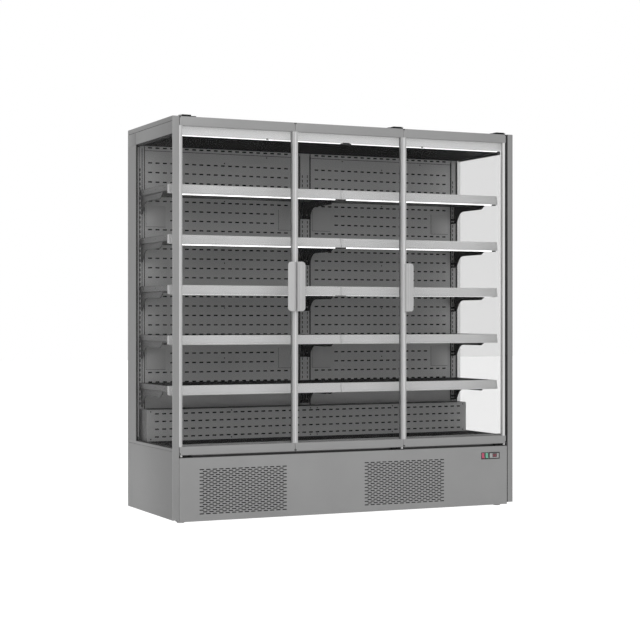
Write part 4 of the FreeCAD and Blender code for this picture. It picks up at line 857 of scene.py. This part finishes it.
def handle(name, x0, x1, hinged_left, body):
    """Pull in three bands: a gutter by the door's edge, a ridge, and a flank to the finger lip."""
    edge, way = (x1 - 1, -1) if hinged_left else (x0 + 1, 1)
    z0, z1, wide, r, wall = 1044.0, 1296.0, 46.0, 19.0, 3.0
    front = [(0, 5), (0.8, 12), (2.2, 17), (5, 19.5), (8.5, 20.5), (10.2, 23.5), (12, 26.6),
             (14.5, 27.8), (18, 28), (21, 27.6), (23.5, 26.2), (26.5, 24.2), (31, 22.2), (36, 20.6),
             (41, 19.2), (44.4, 17.8), (45.7, 16.2)]
    back = [(u, max(p - wall - (0.0 if u < 30 else 0.6), 0.0)) for u, p in front]
    back = [(u, 0.0 if u < 10.5 else p) for u, p in back]
    back[-1] = (45.7, 14.4)
    levels = 28

    def reach(u):
        over = u - (wide - r)
        return r - math.sqrt(max(r * r - over * over, 0.0)) if over > 0 else 0.0

    bm = bmesh.new()
    grids = []
    for side in (front, back):
        grid = []
        for u, proud in side:
            cut = reach(u)
            low, high = z0 + cut, z1 - cut
            column = []
            for k in range(levels + 1):
                t = (1 - math.cos(math.pi * k / levels)) / 2
                z = low + (high - low) * t
                ease = 1.6 * (max(0.0, 1 - min(z - low, high - z) / 2.2)) ** 2
                p = max(proud - ease, 0.5) if side is front else proud
                column.append(bm.verts.new(at(edge + way * u, -p, z)))
            grid.append(column)
        grids.append(grid)
    f, b = grids
    last = len(front) - 1
    for i in range(last):
        for k in range(levels):
            bm.faces.new((f[i][k], f[i + 1][k], f[i + 1][k + 1], f[i][k + 1]))
            bm.faces.new((b[i][k], b[i][k + 1], b[i + 1][k + 1], b[i + 1][k]))
        bm.faces.new((f[i][0], b[i][0], b[i + 1][0], f[i + 1][0]))
        bm.faces.new((f[i][levels], f[i + 1][levels], b[i + 1][levels], b[i][levels]))
    for k in range(levels):
        bm.faces.new((f[0][k], f[0][k + 1], b[0][k + 1], b[0][k]))
        bm.faces.new((f[last][k], b[last][k], b[last][k + 1], f[last][k + 1]))
    piece("pull_" + name, bm, "handle_grey", "door_handle_" + name, body=body, smooth=50)


def hinges(name, x0, x1, hinged_left, nodes_top, nodes_low):
    """Low block on the header with its pin, and the bracket with collar and pin under the door."""
    start, way = (x0 + 1.5, 1) if hinged_left else (x1 - 1.5, -1)
    px = x0 + 8 if hinged_left else x1 - 8
    top = HEIGHT + 8.4

    def ahead(pairs):
        return [(start + way * u, y) for u, y in pairs]

    bm = bmesh.new()
    plate = ahead([(0, 2), (86, 2), (86, 30), (60, 60), (0, 60)])
    run(bm, softened(plate, [3, 6, 3, 5, 4], 4), "z", HEIGHT, HEIGHT + 2.6)
    block = ahead([(9, 1), (58, 1), (58, 36), (9, 36)])
    run(bm, softened(block, 2.5, 4), "z", HEIGHT + 2.4, top)
    for dx, dy in ((16, 50), (40, 50)):
        screw(bm, start + way * dx, dy, HEIGHT + 2.6, "+z", 4.2)
    for dx in (22, 44):
        screw(bm, start + way * dx, 18, top - 1.7, "+z", 4.6)
    lathe(bm, [(0, 0), (3.4, 0), (4, 0.8), (4, 22)], (px, 7, HEIGHT - 21), "z", 24)
    piece("top_hinge_" + name, bm, "hinge_dark", *nodes_top)
    bm = bmesh.new()
    a, b = sorted((start + way * 0.2, start + way * 7.4))
    slab(bm, a, b, 1.2, 34, HEIGHT + 2.5, top, 0.8)
    piece("top_hinge_cheek_" + name, bm, "hinge_dark", look="plate_bright")
    bm = bmesh.new()
    a, b = sorted((start, start + way * 66))
    slab(bm, a, b, 1, 28, 321, 325, 0.8)
    slab(bm, start + way * 17, start + way * 35, 4, 22, 325, 331.4, 1.2)
    slab(bm, start + way * 46, start + way * 64, 8, 26, 325, 330.6, 1.2)
    slab(bm, start - way * 3.6, start - way * 0.4, 0.6, 20, 321, 333.2, 0.5)
    screw(bm, start + way * 40.5, 14, 325, "+z", 4.0)
    piece("bottom_hinge_" + name, bm, "hinge_dark", *nodes_low, look="black_seal_and_shade")
    bm = bmesh.new()
    lathe(bm, [(0, 0), (6.4, 0), (6.4, 6.4), (5.6, 8.3), (4, 8.7), (4, 29), (0, 29)], (px, 7, 325),
          "z", 24)
    piece("bottom_hinge_bush_" + name, bm, "hinge_dark", look="plate_bright")


# ---- base panel and controls
GRILLE_LEFTS = (-833.0, 79.0)


def base_panel():
    """Front panel with its stamped grilles, their filter mats, and the seal on its top edge."""
    half, low, high = 939.4, 5.0, 319.8
    pitch, row_pitch = 34.4, 9.12
    holes = []
    for left in GRILLE_LEFTS:
        for row in range(25):
            shift = pitch / 2 if row % 2 else 0.0
            for i in range(13 if row % 2 else 14):
                holes.append(slot_hole(left + 11.5 + shift + pitch * i, 41 + row_pitch * row,
                                       24, 5.4))
    for _, x in SWITCHES:
        holes.append(box_hole(x - 9, x + 9, CONTROLS_Z - 17, CONTROLS_Z + 17))
    holes.append(box_hole(827, 889, CONTROLS_Z - 15.5, CONTROLS_Z + 15.5))
    bm = bmesh.new()
    pierced(bm, box_hole(-half + 1, half - 1, low + 1, high - 1), holes, upright_sheet(0), SKIN)
    for z, end in ((low, 1), (high, -1)):
        lip = [(0, z + end), (0.3, z + 0.3 * end), (1, z), (20, z), (20, z + SKIN * end),
               (SKIN, z + SKIN * end), (SKIN, z + end)]
        run(bm, lip, "x", -half + 1, half - 1)
    for side in (-1, 1):
        lip = [(half - 1, 0), (half, 1), (half, 20), (half - SKIN, 20), (half - SKIN, SKIN),
               (half - 1, SKIN)]
        run(bm, [(side * x, y) for x, y in lip], "z", 15, high - 1)
    piece("base_panel", bm, "body_paint", "front_panel", smooth=0)
    boxes("filter_mats", "fan_black", *[(left - 6, left + 477, SKIN + 0.05, 5, 32, 268, 0.8)
                                        for left in GRILLE_LEFTS], look="filter_mat", smooth=35)
    bm = bmesh.new()
    profile = [(0.9, 319.9), (0.9, 320.7), (28.4, 320.9), (28.4, 328), (29.9, 328), (29.9, 319.9)]
    run(bm, profile, "x", -938, 938)
    piece("sill_seal", bm, "seal_grey", look="seal_dim", smooth=0)


def controls():
    """Two rocker switches in their bezels, and the controller with its display."""
    z0, h = CONTROLS_Z, 18.5
    bm = bmesh.new()
    for _, x in SWITCHES:
        mitred(bm, [(0, 0), (0.4, -1.1), (1.4, -1.5), (2.6, -1.5), (3.0, -1.0), (3.0, 12),
                    (2.2, 12), (2.2, 0)], x - 10.5, x + 10.5, z0 - h, z0 + h)
        slab(bm, x - 9, x + 9, 12, 21, z0 - 17, z0 + 17)
    piece("switch_bezels", bm, "switch_black", "switch_housings")
    tilt = math.radians(-7)
    half, valley, axis_y = 14.5, -3 - 14.5 * math.tan(tilt), 9.0
    for colour, x in SWITCHES:
        bm = bmesh.new()
        profile = [(-3, -half), (-2.4, -half * 0.6), (valley + 0.1, -half * 0.12),
                   (valley + 0.1, half * 0.12), (-2.4, half * 0.6), (-3, half), (2, half * 0.93),
                   (13, half * 0.35), (13, -half * 0.35), (2, -half * 0.93)]
        turned = []
        for y, z in profile:
            dy = y - axis_y
            turned.append((axis_y + dy * math.cos(tilt) - z * math.sin(tilt),
                           z0 + dy * math.sin(tilt) + z * math.cos(tilt)))
        run(bm, softened(turned, [1.2, 2, 3, 3, 2, 1.2, 0.5, 0.5, 0.5, 0.5], 3), "x", x - 7, x + 7)
        piece("rocker_" + colour, bm, "switch_" + colour, "rocker_switch_" + colour,
              body=colour + "_switch", smooth=40)

    bm = bmesh.new()
    x, w = 858.0, 34.0
    mitred(bm, [(0, 0), (0.5, -2.2), (1.8, -3), (4.6, -3), (5.6, -2.2), (5.8, 0)], x - w, x + w,
           z0 - h, z0 + h)
    piece("controller_rim", bm, "controller_grey", look="connector_dark")
    bm = bmesh.new()
    for rim, y0, y1, round_off in ((5.9, -1.6, 0.5, 0.0), (3.2, 0, 55, 1.0)):
        slab(bm, x - w + rim, x + w - rim, y0, y1, z0 - h + rim, z0 + h - rim, round_off)
    for k in range(4):
        slab(bm, x + 17.5, x + 25, -2.4, -1, z0 + 5.2 - 3.9 * k, z0 + 8 - 3.9 * k, 0.4)
    piece("controller", bm, "controller_grey", "thermostat")
    boxes("display_window", "controller_grey",
          (x - 11, x + 16, -2.1, -1.2, z0 - h + 9.5, z0 + h - 7.0, 0.3), look="display", smooth=35)
    bm = bmesh.new()
    segments = {"3": "abgcd", "2": "abged"}
    strokes = {"a": (0, 6, 1), "b": (2.8, 3, 0), "c": (2.8, 0, 0), "d": (0, 0, 1), "e": (0, 0, 0),
               "g": (0, 3, 1)}
    for ox, digit in ((x - 7, "3"), (x + 5, "2")):
        for s in segments[digit]:
            u, v, flat = strokes[s]
            u, v = ox + u * 2.0, z0 - 4.4 + v * 1.85
            if flat:
                slab(bm, u + 0.6, u + 5.6, -2.35, -2.0, v - 0.75, v + 0.75)
            else:
                slab(bm, u - 0.2, u + 1.3, -2.35, -2.0, v + 0.9, v + 4.7)
    piece("display_digits", bm, "controller_grey", look="digits", smooth=0)


# ---- feet, rear cover, painted shade and light in the door gaps
def feet():
    """Levelling feet with their lock nuts, and the two front glides that the photograph shows."""
    pad = [(0, 0), (19.5, 0), (21, 1.5), (21, 6.5), (19, 9), (9, 10), (8, 10)]
    nut = [(8, 10), (11, 10), (11, 17), (10, 17.4), (5, 17.4), (5, 20), (0, 20)]
    bm = bmesh.new()
    for x in (-913, 913):
        for y in (70, 650):
            lathe(bm, pad, (x, y, 0), "z", 36)
            lathe(bm, nut, (x, y, 0), "z", 6)
    piece("feet", bm, "foot_white", "levelling_feet")
    for name, x, look in (("left", -926, None), ("right", 886, "body_paint")):
        bm = bmesh.new()
        lathe(bm, [(0, 0), (16.8, 0), (18, 1.2), (18, 6), (16.6, 7.2), (16.6, 14), (0, 14)],
              (x, 20, 0.2), "z", 32)
        piece("front_glide_" + name, bm, "foot_white", look=look)


def rear_cover():
    """Louvred cover of the unit compartment, with its screws."""
    y = 670.0
    holes = []
    for a, b in ((-930, -60), (60, 930)):
        for row in range(9):
            z = 92 + 24 * row
            x = a + 30
            while x + 20 < b:
                holes.append(slot_hole(x, z, 36, 6, 2.4))
                x += 50
    bm = bmesh.new()
    pierced(bm, box_hole(-INNER, INNER, 20, 321), holes, upright_sheet(y), SKIN)
    piece("rear_cover", bm, "body_paint", "rear_grille", smooth=0)
    bm = bmesh.new()
    for x in (-940, -470, 0, 470, 940):
        for z in (34, 308):
            screw(bm, x, y + SKIN, z, "+y")
    piece("rear_screws", bm, "galvanised")


def gap_shading():
    """Dark sheet of painted shade in the gap beside the last door, and a glowing strip of painted
    light in the gap beside the first.
    """
    boxes("gap_shade", "seal_grey", (934.6, 939.8, 4, 29.6, DOOR_LOW + 2, DOOR_HIGH - 2, 0.6),
          look="black_seal_and_shade", smooth=35)
    boxes("gap_glint", "seal_grey", (-940, -938.1, 0.2, 1.1, 375, 1958), look="glowing_stile_edge",
          smooth=35)


gap_shading()
both(post)
both(end_glazing)
both(end_band)
both(end_base)
back_sheet("left")
back_sheet("right")
upright_strip("upright_left", -INNER, -927.0, [-948.5], ("shelf_uprights",))
upright_strip("upright_middle", -27.0, 27.0, [-15.0, 15.0])
upright_strip("upright_right", 927.0, INNER, [931.0])
plenum()
for level, top in enumerate(SHELF_TOPS):
    shelf(level, top)
trays()
brackets()
joint_lines()
rear_and_roof()
canopy()
for entry in DOORS:
    door(*entry)
    first = entry[0] == "left"
    hinges(*entry, ("top_hinges",) if first else (), ("bottom_hinges",) if first else ())
base_panel()
controls()
feet()
rear_cover()


# ---- floor, light and camera
FLOOR_GLOW, SHADOW_KEPT = 1.3, 0.18     # strength of the white floor, share of shadow on it
SKY_LIGHT, SKY_SEEN = 0.62, 1.0         # the sky's strength as light, and as background
KEY_WATTS, FILL_WATTS = 71, 17
CAMERA_PLACE, CAMERA_TURN, LENS = (-3.6163, -7.7246, 1.0), -24.96, 89.6


def background_ray(tree):
    """1 for the rays that see the background: from the camera, a reflection or glass."""
    ray = node(tree, "LightPath")
    seen = ray.outputs["Is Camera Ray"]
    for kind in ("Is Glossy Ray", "Is Transmission Ray"):
        either = node(tree, "Math", operation="MAXIMUM")
        tree.links.new(seen, either.inputs[0])
        tree.links.new(ray.outputs[kind], either.inputs[1])
        seen = either.outputs[0]
    return seen


def white_ground(name):
    """White floor that keeps a share of the object's shadow."""
    mat, tree, shader = principled(name)
    out = tree.nodes["Material Output"]
    put(shader, {"Base Color": (0.9, 0.9, 0.9, 1), "Roughness": 0.9})
    plain = node(tree, "Emission", Color=(1, 1, 1, 1), Strength=FLOOR_GLOW)
    share = node(tree, "Math", operation="MULTIPLY")
    put(share, {1: 1 - SHADOW_KEPT})
    mix = node(tree, "MixShader")
    tree.links.new(background_ray(tree), share.inputs[0])
    tree.links.new(share.outputs[0], mix.inputs["Fac"])
    tree.links.new(shader.outputs["BSDF"], mix.inputs[1])
    tree.links.new(plain.outputs["Emission"], mix.inputs[2])
    tree.links.new(mix.outputs["Shader"], out.inputs["Surface"])
    return mat


bm = bmesh.new()
bmesh.ops.create_grid(bm, x_segments=1, y_segments=1, size=30)
ground_mesh = bpy.data.meshes.new("ground")
bm.to_mesh(ground_mesh)
bm.free()
ground = bpy.data.objects.new("ground", ground_mesh)
ground_mesh.materials.append(white_ground("ground_white"))
bpy.context.scene.collection.objects.link(ground)

world = bpy.data.worlds.new("sky")
world.use_nodes = True
sky = world.node_tree
glow = sky.nodes["Background"]
put(glow, {"Color": (1, 1, 1, 1)})
level = node(sky, "MapRange")
put(level, {"To Min": SKY_LIGHT, "To Max": SKY_SEEN})
sky.links.new(background_ray(sky), level.inputs["Value"])
sky.links.new(level.outputs["Result"], glow.inputs["Strength"])
bpy.context.scene.world = world


def soft_lamp(name, place, aim, size, power):
    """Area lamp in watts that looks at aim."""
    data = bpy.data.lights.new(name, "AREA")
    data.shape = "RECTANGLE"
    data.size, data.size_y = size
    data.energy = power
    lamp = bpy.data.objects.new(name, data)
    lamp.location = place
    lamp.rotation_euler = (Vector(aim) - Vector(place)).to_track_quat("-Z", "Y").to_euler()
    bpy.context.scene.collection.objects.link(lamp)


soft_lamp("key_front", (-1.5, -5.0, 3.4), (0, 0, 1.0), (4.0, 3.0), KEY_WATTS)
soft_lamp("fill_left", (-5.0, -1.0, 3.0), (0, 0, 1.0), (3.0, 3.0), FILL_WATTS)

camera_data = bpy.data.cameras.new("camera")
camera_data.sensor_width = 36.0
camera_data.lens = LENS
camera_data.clip_end = 60
camera = bpy.data.objects.new("camera", camera_data)
camera.location = CAMERA_PLACE
camera.rotation_euler = (math.radians(90), 0, math.radians(CAMERA_TURN))
bpy.context.scene.collection.objects.link(camera)
bpy.context.scene.camera = camera
bpy.context.scene.view_settings.view_transform = "Standard"
